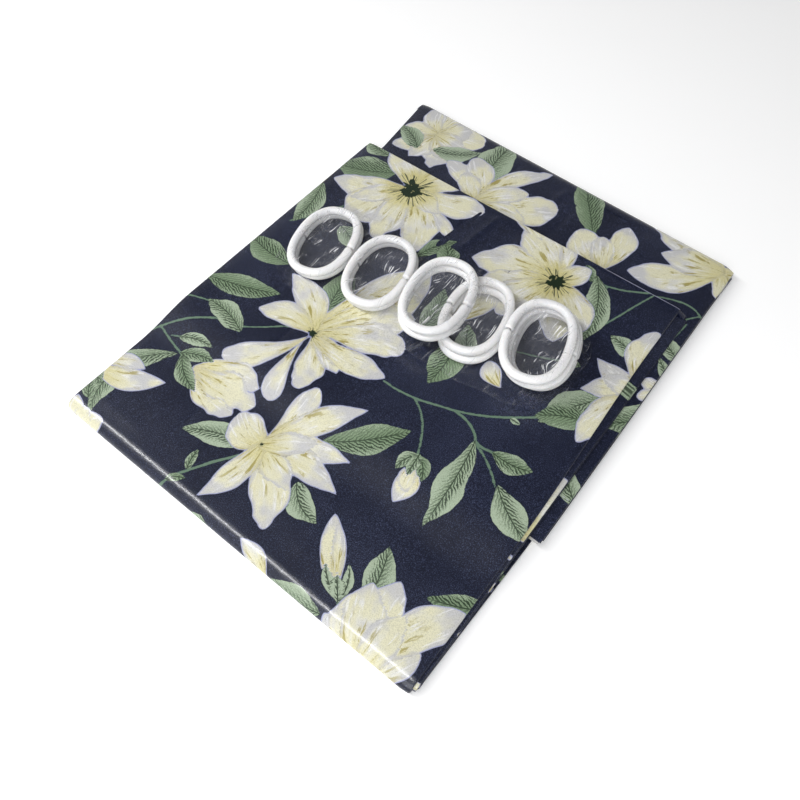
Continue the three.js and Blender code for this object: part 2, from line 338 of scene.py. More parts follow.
# The part of the pattern on the strip behind the front flap
BACK_MOTIFS = [
    flower((34, 338), [
        (75, 30, 12, 3, 0.6), (130, 30, 9, 3, 0.6), (20, 36, 13, 3, 0.6), (195, 28, 8, -2, 0.66),
        (-22, 34, 13, -3, 0.6), (232, 36, 9, 3, 0.6), (-64, 36, 12, 3, 0.6, 0.8, 0.16),
        (-98, 32, 9, 2, 0.6, 0.9, 0.14), (45, 24, 11, 0, 0.6), (-45, 26, 10, 0, 0.6), (0, 22, 9, 0, 0.5),
    ]),
    single((30, 316), (2, 330), 9, -3),
    single((40, 322), (72, 342), 9, -4),
    single((92, 306), (86, 366), 14, 2, 0.55, 0.04),
    flower((98, 296), [
        (150, 46, 9, -5, 0.66), (122, 46, 11, -3, 0.66), (62, 64, 8, 8, 0.66, 0.8),
        (30, 60, 15, -4, 0.72), (136, 30, 9, 0, 0.6), (6, 40, 9, 3, 0.6), (48, 40, 9, 3, 0.6),
    ]),
    single((184, 320), (146, 366), 10.5, -2, 0.5),
    flower((204, 296), [(140, 38, 13, 3, 0.62), (94, 46, 10, -3, 0.7, 0.8), (116, 30, 9, 0, 0.6)]),
    flower((270, 344), [
        (170, 56, 13, -5, 0.5, 0.8), (216, 62, 13, 6, 0.62, 0.8),
        (20, 30, 12, 0, 0.6), (-60, 24, 9, 2, 0.6),
        (192, 40, 12, 0, 0.5, 0.8),
    ]),
    single((284, 262), (262, 274), 7, 2),
    single((290, 224), (264, 190), 10, 3),
    single((284, 136), (262, 156), 7, 2),
    single((290, 246), (270, 256), 5, 2),
    flower((286, 236), [(190, 15, 6, 0, 0.6), (230, 18, 5, 0, 0.6)]),
]
BACK_STEMS = [
    stem(0.9, (240, 296), (254, 303), (268, 306), (280, 300)),
    stem(0.8, (266, 284), (270, 294), (276, 302)),
    stem(0.8, (264, 250), (270, 270), (272, 290)),
]
# Main motifs repeat under the flap from this far in from the fold, turned end for end
BACK_FREE = 26
SIDE_FREE = 18
TURNED_ABOUT = 322


def half_width_at(b, at, side):
    """A blade's half width at shares of its length, on the side that across's sign tells."""
    at = np.clip(at, 1e-4, 1 - 1e-4)
    shape = np.sin(np.pi * at ** (math.log(0.5) / math.log(b["widest"])))
    power = np.where(at < b["widest"], b["root"], b["end"])
    # Ripples along the whole edge, and small notches towards the tip
    phase = b["base"][0] + b["tip"][1] + side * 2.1
    ripple = np.sin(at * 11 + phase) + 0.35 * np.sin(at * 25 + 2 * phase) * smooth(at * 2 - 0.6)
    notch = np.abs(np.mod(at * 5 + phase, 1.0) - 0.5) * smooth(at * 6 - 4.4)
    return b["half"] * shape ** power * (1 + b["wave"] * (ripple - 4 * notch))


def blade_fields(b, u, v):
    """Signed distance to a blade's outline, place along and across it, and its length."""
    axis = b["tip"] - b["base"]
    length = float(np.hypot(*axis))
    along_axis = axis / length
    du, dv = u - b["base"][0], v - b["base"][1]
    t = (du * along_axis[0] + dv * along_axis[1]) / length
    inside = np.clip(t, 0, 1)
    across = -du * along_axis[1] + dv * along_axis[0] - b["bend"] * 4 * inside * (1 - inside)
    side = np.sign(across)
    half = half_width_at(b, inside, side)
    # The distance to a sloping outline is shorter than the one measured straight across
    step = 0.01
    change = half_width_at(b, inside + step, side) - half_width_at(b, inside - step, side)
    slope = change / (2 * step * length)
    bow = b["bend"] * 4 * (1 - 2 * inside) / length
    steep = np.sqrt(1 + np.minimum(np.abs(slope) + np.abs(bow), 3.0) ** 2)
    distance = (half - np.abs(across)) / steep
    beyond = np.abs(t - inside) * length
    distance = np.where(beyond > 0, -np.hypot(beyond, across), distance)
    return distance, t * length, across, length


def stem_distance(s, u, v):
    """Distance from a stem's edge, positive inside."""
    best = np.full(u.shape, OUTSIDE)
    for a, b in zip(s["points"][:-1], s["points"][1:]):
        run = b - a
        t = np.clip(((u - a[0]) * run[0] + (v - a[1]) * run[1]) / (run @ run), 0, 1)
        gap = np.hypot(u - a[0] - t * run[0], v - a[1] - t * run[1])
        best = np.maximum(best, s["half"] - gap)
    return best


def rounded(s):
    """The stem with its corners cut twice, so that it runs in a curve."""
    points = s["points"]
    for _ in range(2):
        a, b = points[:-1], points[1:]
        cut = np.stack([0.75 * a + 0.25 * b, 0.25 * a + 0.75 * b], 1).reshape(-1, 2)
        points = np.concatenate([points[:1], cut, points[-1:]])
    return {"points": points, "half": s["half"]}


# Distances are worked out this far outside a shape
NEAR = 6
PRINT_FIELDS = {
    # distance inside the nearest petal, leaf and stem
    "print_edges": ("petal", "leaf", "stem"),
    # millimetres along and across the blade, and to its own rim
    "print_blade": ("along", "across", "rim"),
    # share of the blade's length and of its half width, and its tone
    "print_shape": ("share", "side", "tone"),
    # offset from the flower's centre, and the radius of its dark middle
    "print_eye": ("eye_u", "eye_v", "eye_size"),
}
UNDRAWN = {
    "petal": OUTSIDE, "leaf": OUTSIDE, "stem": OUTSIDE, "rim": OUTSIDE,
    "along": 0.0, "across": 0.0, "share": 0.0, "side": 0.0, "tone": 0.5,
    "eye_u": 100.0, "eye_v": 100.0, "eye_size": 0.0,
}


def within(u, v, low, high):
    """Indices of the points inside a box."""
    return np.flatnonzero((u > low[0]) & (u < high[0]) & (v > low[1]) & (v < high[1]))


def draw_stem(drawn, s, u, v):
    """Adds a stem to what is drawn so far."""
    near = within(u, v, s["points"].min(0) - NEAR, s["points"].max(0) + NEAR)
    distance = stem_distance(rounded(s), u[near], v[near])
    drawn["stem"][near] = np.maximum(drawn["stem"][near], distance)


def draw_blade(drawn, b, u, v):
    """Lays a petal or leaf over what is drawn so far."""
    reach = b["half"] * 1.2 + abs(b["bend"]) + NEAR
    low = np.minimum(b["base"], b["tip"]) - reach
    high = np.maximum(b["base"], b["tip"]) + reach
    near = within(u, v, low, high)
    distance, along, across, length = blade_fields(b, u[near], v[near])
    rim = drawn["rim"][near]
    covers = (distance > 0) | (distance > rim) & (rim < 0)
    on = near[covers]
    drawn["along"][on] = along[covers]
    drawn["across"][on] = across[covers]
    drawn["rim"][on] = distance[covers]
    drawn["share"][on] = along[covers] / length
    drawn["side"][on] = across[covers] / b["half"]
    drawn["tone"][on] = b["tone"] + 0.3 * math.sin(b["base"][0] * 3.1 + b["tip"][1] * 1.7)
    own = drawn[b["kind"]]
    own[near] = np.maximum(own[near], distance)
    hidden = drawn["leaf" if b["kind"] == "petal" else "petal"]
    hidden[near] = np.where(distance > 0, np.minimum(hidden[near], -distance), hidden[near])


def draw_eye(drawn, eye, u, v):
    """Each point belongs to the nearest flower's middle."""
    centre, size = eye
    gap_u, gap_v = u - centre[0], v - centre[1]
    mine = np.hypot(gap_u, gap_v) < np.hypot(drawn["eye_u"], drawn["eye_v"])
    drawn["eye_u"][mine] = gap_u[mine]
    drawn["eye_v"][mine] = gap_v[mine]
    drawn["eye_size"][mine] = size


def print_fields(u, v, motifs, stems):
    """The pattern as smooth fields that the cloth's material draws from."""
    shape = u.shape
    u, v = u.ravel().astype(float), v.ravel().astype(float)
    drawn = {name: np.full(u.shape, value) for name, value in UNDRAWN.items()}
    for s in stems:
        draw_stem(drawn, s, u, v)
    for motif in motifs:
        for b in motif["blades"]:
            draw_blade(drawn, b, u, v)
        if motif["eye"]:
            draw_eye(drawn, motif["eye"], u, v)
    return {
        field: np.stack([drawn[name] for name in names], 1).reshape(shape + (3,))
        for field, names in PRINT_FIELDS.items()
    }


MAIN = MAIN_LEAVES + MAIN_FLOWERS + MAIN_BUDS


def main_print(x, y):
    """The pattern on the front flap and the front fold."""
    return print_fields(x, y, MAIN, MAIN_STEMS)


# Scraps of the pattern on the layers' edges: u is the layer, counted from outside, v runs along the
# strip. The front and back strips, and their right and left edges, each have their own zone of u.
FRONT_ZONE = 0
BACK_ZONE = 100
ZONE_STEP = 50


def scrap(kind, start, end, half, blunt=0.3):
    return plain(blade(kind, start, end, half, 0, 0.5, blunt, blunt))


EDGE_MOTIFS = [
    scrap("petal", (4, 99), (4, 146), 3.4, 0.2),
    scrap("petal", (9, 66), (9, 73), 1.6),
    scrap("petal", (4, 86), (4, 90), 1.6),
    scrap("leaf", (8, 76), (8, 81), 1.4),
    scrap("petal", (10, 38), (10, 42), 2.2),
    scrap("petal", (6, 0), (5, 7), 3.4),
    scrap("leaf", (6, 214), (6, 226), 6),
    scrap("petal", (54, 30), (53, 46), 4),
    scrap("leaf", (50, 120), (50, 140), 4),
    scrap("petal", (48, 232), (50, 262), 5),
    scrap("petal", (106, 326), (107, 344), 4),
    scrap("leaf", (104, 186), (104, 200), 5),
    scrap("petal", (108, 104), (108, 108), 2),
    scrap("leaf", (151, 300), (151, 322), 6),
    scrap("petal", (264, 3), (278, 3), 1.4),
    scrap("petal", (60, 2), (96, 3), 4),
]


def edge_print(zone, layer, along):
    """The scraps of pattern on one edge of a strip."""
    return print_fields(zone + layer + 0 * along, along + 0 * layer, EDGE_MOTIFS, [])


def back_print(x, y):
    """The pattern on the strip behind, and under the front flap the motifs that fit there."""

    def clear(motif):
        ends = np.array([[b["base"], b["tip"]] for b in motif["blades"]]).reshape(-1, 2)
        return ends[:, 1].min() > BACK_FREE and ends[:, 0].max() < WIDTH - SIDE_FREE

    under = [flipped(motif) for motif in MAIN if clear(motif)]
    return print_fields(x, y, under + BACK_MOTIFS, BACK_STEMS)


def flipped(motif):
    """A motif turned end for end, for the strip that the fold has turned over."""

    def turn(point):
        return np.array([point[0], TURNED_ABOUT - point[1]])

    blades = []
    for b in motif["blades"]:
        blades.append({**b, "base": turn(b["base"]), "tip": turn(b["tip"]), "bend": -b["bend"]})
    eye = motif["eye"] and (turn(motif["eye"][0]), motif["eye"][1])
    return {"blades": blades, "eye": eye}


# ---------------------------------------------------------------- the cloth's shape
# Depth is measured into the strip from its printed outer face: 0 outside, STRIP inside.

RAMP = (62.0, HEM_END)
NOSE_DEPTH = HINGE_Y
SHOULDER_WIDTH = 9.0


def gentle(x, y):
    """Soft unevenness of cloth that was folded by hand, in millimetres."""
    swell = np.sin(x / 31 + 0.7) * np.sin(y / 43 + 1.9) + 0.6 * np.sin(x / 17 - y / 29 + 0.4)
    small = 0.35 * np.sin(x / 9.1 + y / 13.7) * np.sin(y / 11.3 - x / 23.0)
    return 0.22 * (swell + small)


def crease(x, y, start, end, height, width):
    """A straight pressed crease, a low ridge or, with a negative height, a groove."""
    run = np.subtract(end, start).astype(float)
    length = np.hypot(*run)
    run /= length
    t = (x - start[0]) * run[0] + (y - start[1]) * run[1]
    gap = np.abs(-(x - start[0]) * run[1] + (y - start[1]) * run[0])
    fade = smooth(t / 12) * smooth((length - t) / 12)
    return height * fade * np.exp(-((gap / width) ** 1.5))


# Pressed creases: start, end, height (negative for a groove) and width
FLAP_CREASES = [
    ((66, 15), (76, 150), -0.28, 1.6),
    ((84, 10), (88, 132), 0.22, 1.8),
    ((104, 236), (112, 296), -0.5, 2.4),
    ((118, 244), (124, 296), 0.6, 3.0),
    ((142, 226), (150, 296), 0.5, 3.0),
    ((156, 240), (162, 296), -0.4, 2.6),
    ((178, 12), (170, 70), 0.2, 2.5),
    ((232, 60), (244, 180), 0.2, 4.0),
]
INNER_CREASES = [
    ((140, 300), (146, 352), 0.35, 2.6),
    ((160, 296), (158, 350), -0.3, 2.6),
    ((222, 300), (214, 350), 0.3, 3.0),
    ((100, 300), (104, 354), -0.25, 2.4),
]


def creased(relief, x, y, creases):
    """A relief with pressed creases added."""
    for numbers in creases:
        relief = relief + crease(x, y, *numbers)
    return relief


def flap_relief(x, y):
    relief = creased(gentle(x, y), x, y, FLAP_CREASES)
    edge = np.minimum(np.minimum(x, WIDTH - x), np.minimum(y - HINGE_Y, DEPTH - y))
    crest = crease(x, y, (150, DEPTH - 1.3), (WIDTH + 6, DEPTH - 1.3), 0.35, 1.0)
    return relief * smooth(edge / 10) + crest


def inner_relief(x, y):
    relief = creased(gentle(x + 40, y + 90), x, y, INNER_CREASES)
    return relief * smooth((RIGHT - x) / 8) * smooth((x - INNER_LEFT + 8) / 8)


def shoulder(x, left, right, drop_left, drop_right):
    """How far the cloth's outer face rounds down towards the strip's two sides."""
    rise_left = np.clip(1 - (x - left) / SHOULDER_WIDTH, 0, 1) ** 2
    rise_right = np.clip(1 - (right - x) / SHOULDER_WIDTH, 0, 1) ** 2
    return drop_left * rise_left + drop_right * rise_right


def sunk(depth, fall):
    """Depth of a layer once the outer face has come down by fall: the layers under it close up."""
    share = 1 - depth / STRIP
    return depth + fall * share


def flap_surface(x, y, depth):
    """Height of the front flap's layers: a slope up over the hem, rounded down at both sides."""
    top = LOW_TOP + (HIGH_TOP - LOW_TOP) * smooth((y - RAMP[0]) / (RAMP[1] - RAMP[0]))
    right_drop = 0.6 + 2.2 * smooth((y - 60) / 220)
    start = smooth((y - HINGE_Y) / 25)
    fall = shoulder(x, 0, WIDTH, 0.7, right_drop) * start + shoulder(x, 0, WIDTH, 0.5, 0.5) * (1 - start)
    return top - sunk(depth, fall - flap_relief(x, y))


def left_edge(y):
    """X of the back strip's left edge, which bends out to the corner near the back fold."""
    bent = INNER_LEFT * (BACK_LEFT_Y - y) / (BACK_LEFT_Y - LEFT_BEND_Y)
    return np.where(y > LEFT_BEND_Y, bent, INNER_LEFT)


def right_edge(y):
    return RIGHT - (RIGHT - BACK_RIGHT_X) * smooth((y - HEM_END) / (BACK_LEFT_Y - HEM_END))


def back_line(x):
    """Y of the back fold's outermost line, which runs askew."""
    return BACK_LEFT_Y - BACK_SKEW * x / INNER_SPAN


def inner_surface(x, y, depth):
    """Height of the inner flap's layers."""
    fall = shoulder(x, left_edge(y), right_edge(y), 0.5, 0.9)
    return LOW_TOP - sunk(depth, fall - inner_relief(x, y))


FRONT_FULLNESS = (1.12, 1.12)
BACK_FULLNESS_POWERS = (0.62, 0.72)


def nose_point(turn, depth, powers=FRONT_FULLNESS):
    """(reach, height) on a fold: turn is 90 degrees on top, 0 at its nose and -90 underneath."""
    reach = NOSE_DEPTH * (1 - 0.85 * depth / STRIP)
    c, s = np.cos(turn), np.sin(turn)
    bulge = np.abs(c) ** powers[0]
    return reach * bulge, NOSE_HALF + (NOSE_HALF - depth) * np.sign(s) * np.abs(s) ** powers[1]


def nose_arc(turn):
    """Length of cloth from the top of a fold down to a turn angle, in millimetres."""
    turns = np.linspace(math.pi / 2, -math.pi / 2, 90)
    reach, height = nose_point(turns, 0.0)
    run = np.concatenate([[0], np.cumsum(np.hypot(np.diff(reach), np.diff(height)))])
    return np.interp(-turn, -turns, run)


def span(low, high, step):
    return np.linspace(low, high, max(2, int(math.ceil((high - low) / step)) + 1))


# ---- the layers inside a strip: two sheets, fan-folded together


# Places of a layer's points in from its pleats, and how far a pleat bulges for its height
INSETS = [0.0, 1.5, 3.5, 6.0, 10.0]
PLEAT_FULLNESS = 1.6


def section(left_offsets, right_offsets):
    """The two sheets' fan folds across a strip, as runs of (side, inset, depth, top pleat's right end).

    side is 0 at the left edge and 1 at the right. inset is in millimetres towards the middle.
    """
    runs = []
    for near, far in ((0, 3), (1, 2)):
        order = [4 * (k // 2) + (far if k % 2 else near) for k in range(PANELS)]
        line = []
        for k, ply in enumerate(order):
            depth = (ply + 0.5) * PLY
            start = k % 2
            end = 1 - start
            out = (left_offsets[(k - 1) // 2], right_offsets[k // 2])
            top = k < 2
            line += [(start, inset - out[start], depth, top and start) for inset in INSETS]
            line += [(end, inset - out[end], depth, top and end) for inset in reversed(INSETS)]
            if k < PANELS - 1:
                radius = ((order[k + 1] + 0.5) * PLY - depth) / 2
                for turn in np.radians((30, 60, 90, 120, 150)):
                    past = PLEAT_FULLNESS * radius * math.sin(turn)
                    drop = radius * (1 - math.cos(turn))
                    line.append((end, -past - out[end], depth + drop, top and end))
        runs.append(line)
    return runs


def no_inset(along):
    return 0 * along


def layer_grids(runs, stations, edges, surface, skip_outer, zone, top_inset=no_inset):
    """Grids of a strip's layers at each station along it."""
    grids = []
    for index, line in enumerate(runs):
        if index == 0 and skip_outer:
            line = line[2 * len(INSETS):]
        side, inset, depth, in_top_pleat = np.array(line, float).T[:, None, :]
        left, right = edges(stations)
        stand_back = in_top_pleat * top_inset(stations)[:, None]
        x = np.where(side == 0, left[:, None] + inset, right[:, None] - inset - stand_back)
        points, along = surface(x, stations[:, None] + 0 * x, depth + 0 * x)
        fields = edge_print(zone + ZONE_STEP * (1 - side), depth / PLY, along)
        grids.append({"points": points, "fields": fields})
    return grids


# How far each pleat, and each panel's end, stands out past the strip's edges
FLAP_LEFT = [0.0, 0.6, -0.9, 0.5]
FLAP_RIGHT = [0.0, 0.6, 1.2, 0.4]
INNER_SIDE_LEFT = [0.0, -1.0, 0.6, -0.5]
INNER_SIDE_RIGHT = [0.0, -1.2, 0.5, -0.6]
LEAF_RIGHT = [0.0, 1.0, -0.5, 0.6]
FLAP_ENDS = [0.0, -0.6, 0.4, -0.9, 0.3, -0.5, 0.1]
HEM_ENDS = [0.0, 0.9, 2.2, 0.5, 1.4, -0.6, 0.2]


TOP_INSET = 1.2


def flap_inset(y):
    """How far the flap's top pleat stands back from the strip's right edge."""
    return TOP_INSET + 4.8 * smooth((y - 90) / 170)


def nose_inset(turn):
    return TOP_INSET + 0 * turn


def flap_edges(along):
    return 0 * along, 0 * along + WIDTH


def flap_at(x, y, depth):
    return place(x, y, flap_surface(np.clip(x, 0, WIDTH), y, depth)), y


def nose_fall(x):
    return shoulder(np.clip(x, 0, WIDTH), 0, WIDTH, 0.5, 0.5)


def nose_at(x, turn, depth):
    reach, height = nose_point(turn, sunk(depth, nose_fall(x)))
    return place(x, HINGE_Y - reach, height), HINGE_Y - nose_arc(turn)


def inner_edges(y):
    return left_edge(y), right_edge(y)


def inner_at(x, y, depth):
    clipped = np.clip(x, left_edge(y), right_edge(y))
    return place(x, y, inner_surface(clipped, y, depth)), y


def back_edges(turn):
    """X of the back fold's two ends."""
    return 0 * turn + BACK_LEFT_X, 0 * turn + BACK_RIGHT_X


def back_at(x, turn, depth):
    fall = shoulder(np.clip(x, BACK_LEFT_X, BACK_RIGHT_X), BACK_LEFT_X, BACK_RIGHT_X, 0.5, 0.9)
    reach, height = nose_point(turn, sunk(depth, fall), BACK_FULLNESS_POWERS)
    return place(x, back_line(x) - NOSE_DEPTH + reach, height), BACK_LEFT_Y - NOSE_DEPTH + nose_arc(turn)


LEAF_START = 9
LEAF_LENGTH = 343


def leaf_edges(y):
    """X of the bottom leaf's two edges, which widen towards the back fold."""
    left = np.maximum(left_edge(y) * smooth((y - LEAF_START) / 60), 0.0)
    return left, WIDTH + (BACK_RIGHT_X - WIDTH) * (y - LEAF_START) / LEAF_LENGTH


def leaf_at(x, y, depth):
    low, high = leaf_edges(y)
    fall = shoulder(np.clip(x, low, high), low, high, 0.6, 0.6)
    return place(x, y, sunk(depth, fall)), y


def end_loops(edges, y_end, way, surface, offsets, first_pair, radius=0.2):
    """The folded or hemmed ends of the seven double panels, one small loop each."""
    grids = []
    turns = np.linspace(0, math.pi, 7)
    for pair, offset in enumerate(offsets):
        depth = (2 * pair + 0.5) * PLY + PLY / 2
        left, right = edges(np.array([y_end]))
        x = span(float(left[0]) + 0.3, float(right[0]) - 0.3, 2.0)[None, :]
        y = y_end + way * (offset + radius * 2 * np.sin(turns))[:, None] + 0 * x
        deep = depth - PLY / 2 * np.cos(turns)[:, None] + 0 * x
        y[0], y[-1] = y_end - way * 3, y_end - way * 3
        points, _ = surface(x + 0 * y, y, deep)
        fields = edge_print(FRONT_ZONE, x + 0 * y, 3.0 * (pair - first_pair) + 0 * y)
        grids.append({"points": points, "fields": fields})
    return grids


# ---- the visible outer faces


def side_roll():
    """Extra columns that carry an outer face round the right edge into the third layer under it."""
    turns = np.linspace(0, math.pi, 7)[1:]
    radius = 1.5 * PLY
    return PLEAT_FULLNESS * radius * np.sin(turns), radius * (1 - np.cos(turns))


def outer_columns(width):
    """Share of the width, overhang and depth of each column of an outer face."""
    count = int(round(width / CLOTH_STEP))
    share = np.linspace(0, 1, count + 1)
    out, drop = side_roll()
    share = np.concatenate([share, np.ones(len(out))])
    over = np.concatenate([np.zeros(count + 1), out])
    depth = np.concatenate([np.zeros(count + 1), drop])
    return share[None, :], over[None, :], depth[None, :]


def half_turn(count):
    """Angles round a fold, from its top to its underside."""
    return np.linspace(math.pi / 2, -math.pi / 2, count)


# Round a folded edge, the print moves on by this much for each millimetre of depth
PRINT_WRAP = 1.5
LIP_Y = DEPTH - 0.6
LIP_RADIUS = 0.55
FOLD_STEPS = 40


def flap_top_grid():
    """The flap's top layer, with its free edge rolled under."""
    share, over, depth = outer_columns(WIDTH)
    y = span(HINGE_Y, LIP_Y, CLOTH_STEP)
    turns = np.linspace(0, math.pi, 8)[1:]
    lip = np.concatenate([np.zeros(len(y)), LIP_RADIUS * (1 - np.cos(turns))])[:, None]
    y = np.concatenate([y, LIP_Y + LIP_RADIUS * np.sin(turns)])[:, None]
    x = share * (WIDTH - flap_inset(y)) + over
    deep = depth + lip
    x, y, deep = np.broadcast_arrays(x, y, deep)
    points = place(x, y, flap_surface(np.clip(x, 0, WIDTH), y, deep))
    return {"points": points, "fields": main_print(x + PRINT_WRAP * deep, y + PRINT_WRAP * lip)}


def nose_top_grid():
    """The outer layer round the front fold."""
    share, over, depth = outer_columns(WIDTH)
    turn = half_turn(FOLD_STEPS)[:, None]
    x = share * (WIDTH - nose_inset(turn)) + over
    x, turn, deep = np.broadcast_arrays(x, turn, depth)
    points, along = nose_at(x, turn, deep)
    return {"points": points, "fields": main_print(x + PRINT_WRAP * deep, along)}


TOP_EYELETS = [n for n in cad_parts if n.startswith("eyelet") and cad(n)[1].z > LOW_TOP]
EYELET_HOLE = 7.0


def inner_top_grid():
    """The inner flap's top layer, with a hole at each eyelet."""
    share, over, depth = outer_columns(INNER_SPAN)
    length = BACK_LEFT_Y - NOSE_DEPTH - HEM_END
    y_share = span(0, length, CLOTH_STEP)[:, None] / length
    nominal = HEM_END + y_share * length
    x = left_edge(nominal) + share * (right_edge(nominal) - left_edge(nominal)) + over
    end = back_line(x) - NOSE_DEPTH
    y = HEM_END + y_share * (end - HEM_END)
    x, y, deep = np.broadcast_arrays(x, y, depth)
    clipped = np.clip(x, left_edge(nominal), right_edge(nominal))
    points = place(x, y, inner_surface(clipped, y, deep))
    holes = np.zeros(x.shape, bool)
    for name in TOP_EYELETS:
        low, high = cad(name)
        middle = (low + high) / 2
        holes |= np.hypot(x - middle.x, y - middle.y) < EYELET_HOLE
    return {"points": points, "fields": back_print(x + PRINT_WRAP * deep, y), "holes": holes}


def back_top_grid():
    """The outer layer round the back fold."""
    share, over, depth = outer_columns(INNER_SPAN)
    turn = half_turn(FOLD_STEPS)[:, None]
    x = BACK_LEFT_X + share * (BACK_RIGHT_X - BACK_LEFT_X) + over
    x, turn, deep = np.broadcast_arrays(x, turn, depth)
    points, _ = back_at(x, turn, deep)
    along = back_line(x) - NOSE_DEPTH + nose_arc(turn)
    return {"points": points, "fields": back_print(x + PRINT_WRAP * deep, along)}


# ---------------------------------------------------------------- material helper


OUTLINE_SOFTNESS = 0.15


class Value:
    """A socket whose sums are math nodes, so that a material's sums read as plain ones."""

    def __init__(self, nodes, socket):
        self.nodes = nodes
        self.socket = socket

    def __add__(self, other):
        return self.nodes.math("ADD", self, other)

    def __radd__(self, other):
        return self.nodes.math("ADD", other, self)

    def __sub__(self, other):
        return self.nodes.math("SUBTRACT", self, other)

    def __rsub__(self, other):
        return self.nodes.math("SUBTRACT", other, self)

    def __mul__(self, other):
        return self.nodes.math("MULTIPLY", self, other)

    def __truediv__(self, other):
        return self.nodes.math("DIVIDE", self, other)


class Nodes:
    """Short calls for building a material's node tree."""

    def __init__(self, name):
        self.material = bpy.data.materials.new(name)
        self.material.use_nodes = True
        self.tree = self.material.node_tree
        self.shader = self.tree.nodes["Principled BSDF"]

    def new(self, kind, **settings):
        node = self.tree.nodes.new(kind)
        for key, value in settings.items():
            setattr(node, key, value)
        return node

    def put(self, socket, value):
        if isinstance(value, Value):
            self.tree.links.new(value.socket, socket)
        elif value is not None:
            socket.default_value = value

    def fill(self, node, **values):
        """Sets a node's inputs. An underscore in a name stands for a space."""
        for name, value in values.items():
            self.put(node.inputs[name.replace("_", " ")], value)
        return node

    def result(self, node, output=0):
        return Value(self, node.outputs[output])

    def surface(self, **values):
        """Sets the inputs of the material's own shader, and gives the material back."""
        self.fill(self.shader, **values)
        return self.material

    def math(self, operation, a, b=None):
        node = self.new("ShaderNodeMath", operation=operation)
        self.put(node.inputs[0], a)
        self.put(node.inputs[1], b)
        return self.result(node)

    def above(self, value, low, high):
        """0 below low, 1 above high, smooth in between."""
        node = self.new("ShaderNodeMapRange", interpolation_type="SMOOTHSTEP")
        return self.result(self.fill(node, Value=value, From_Min=low, From_Max=high))

    def below(self, value, low, high):
        """1 below low, 0 above high."""
        return 1.0 - self.above(value, low, high)

    def inside(self, distance):
        """1 inside an outline, given the distance in from it."""
        return self.above(distance, -OUTLINE_SOFTNESS, OUTLINE_SOFTNESS)

    def mix(self, factor, a, b):
        """Colour a where the factor is 0 and colour b where it is 1."""
        node = self.new("ShaderNodeMix", data_type="RGBA")
        self.put(node.inputs[0], factor)
        self.put(node.inputs[6], a if isinstance(a, Value) else (*a, 1))
        self.put(node.inputs[7], b if isinstance(b, Value) else (*b, 1))
        return self.result(node, 2)

    def split(self, vector):
        node = self.new("ShaderNodeSeparateXYZ")
        self.put(node.inputs[0], vector)
        return tuple(self.result(node, k) for k in range(3))

    def attribute(self, name):
        return self.split(self.result(self.new("ShaderNodeAttribute", attribute_name=name), "Vector"))

    def combine(self, x, y, z=0.0):
        return self.result(self.fill(self.new("ShaderNodeCombineXYZ"), X=x, Y=y, Z=z))

    def position(self):
        return self.result(self.new("ShaderNodeTexCoord"), "Object")

    def noise(self, at, scale, detail=2.0, rough=0.5, twist=0.0):
        node = self.new("ShaderNodeTexNoise")
        self.fill(node, Vector=at, Scale=scale, Detail=detail, Roughness=rough, Distortion=twist)
        return self.result(node, "Fac")

    def bump(self, height, distance, strength, normal=None):
        node = self.new("ShaderNodeBump")
        self.fill(node, Height=height, Distance=distance, Strength=strength, Normal=normal)
        return self.result(node)


# ---------------------------------------------------------------- the satin and its print

NAVY = (0.0020, 0.0045, 0.0200)
# The paler blue of the painted glints on the navy satin
PAINTED_NAVY_GLINT = (0.0640, 0.0780, 0.1500)
IVORY = (0.80, 0.79, 0.70)
CREAM = (0.79, 0.765, 0.555)
LILAC = (0.55, 0.55, 0.59)
PETAL_YELLOW = (0.66, 0.60, 0.26)
OCHRE = (0.34, 0.28, 0.05)
OUTLINE = (0.36, 0.39, 0.66)
SAGE = (0.215, 0.305, 0.180)
SAGE_PALE = (0.43, 0.52, 0.38)
LEAF_DARK = (0.010, 0.026, 0.012)
STEM_GREEN = (0.140, 0.225, 0.155)
EYE_DARK = (0.006, 0.020, 0.006)
PETAL_GLEAM = (0.92, 0.92, 0.92)
PETAL_SEAM = (0.30, 0.29, 0.22)
BLACK = (0, 0, 0)
THREAD_PITCH = 0.00045


def leaf_colour(n, blade_at, shape_at, grain):
    """Sage with dark hatching drawn out from the midrib along the veins."""
    along, across, _ = blade_at
    share, side, tone = shape_at
    half = n.math("ABSOLUTE", side)
    wide = n.math("ABSOLUTE", across)
    pale = n.above(half * 0.6 + (tone + (grain - 0.5) * 2.4), 0.4, 1.2)
    base = n.mix(pale, SAGE, SAGE_PALE)
    slant = along - wide * 1.5
    wander = n.noise(n.combine(along, across, tone), 0.3, 2) * 11.0
    stroke = n.math("SINE", slant * 2.0 + wander)
    reach = n.noise(n.combine(slant * 1.4, n.above(across, -0.1, 0.1), tone), 1.0, 2)
    spread = (2.1 - share * 0.9) * (1.3 - tone * 0.7)
    dense = n.below(half - reach * spread, -0.25, 0.02)
    hatch = n.above(stroke, -0.35, 0.25) * dense
    weaker = n.above(side * (tone * 4.0 - 2.0), -0.5, 0.4)
    hatch = hatch * (0.42 + weaker * 0.58)
    midrib = n.below(wide, 0.2, 0.5) * n.below(share, 0.8, 0.98)
    dark = n.math("MAXIMUM", hatch, midrib)
    return n.mix(dark * 0.92, base, LEAF_DARK)


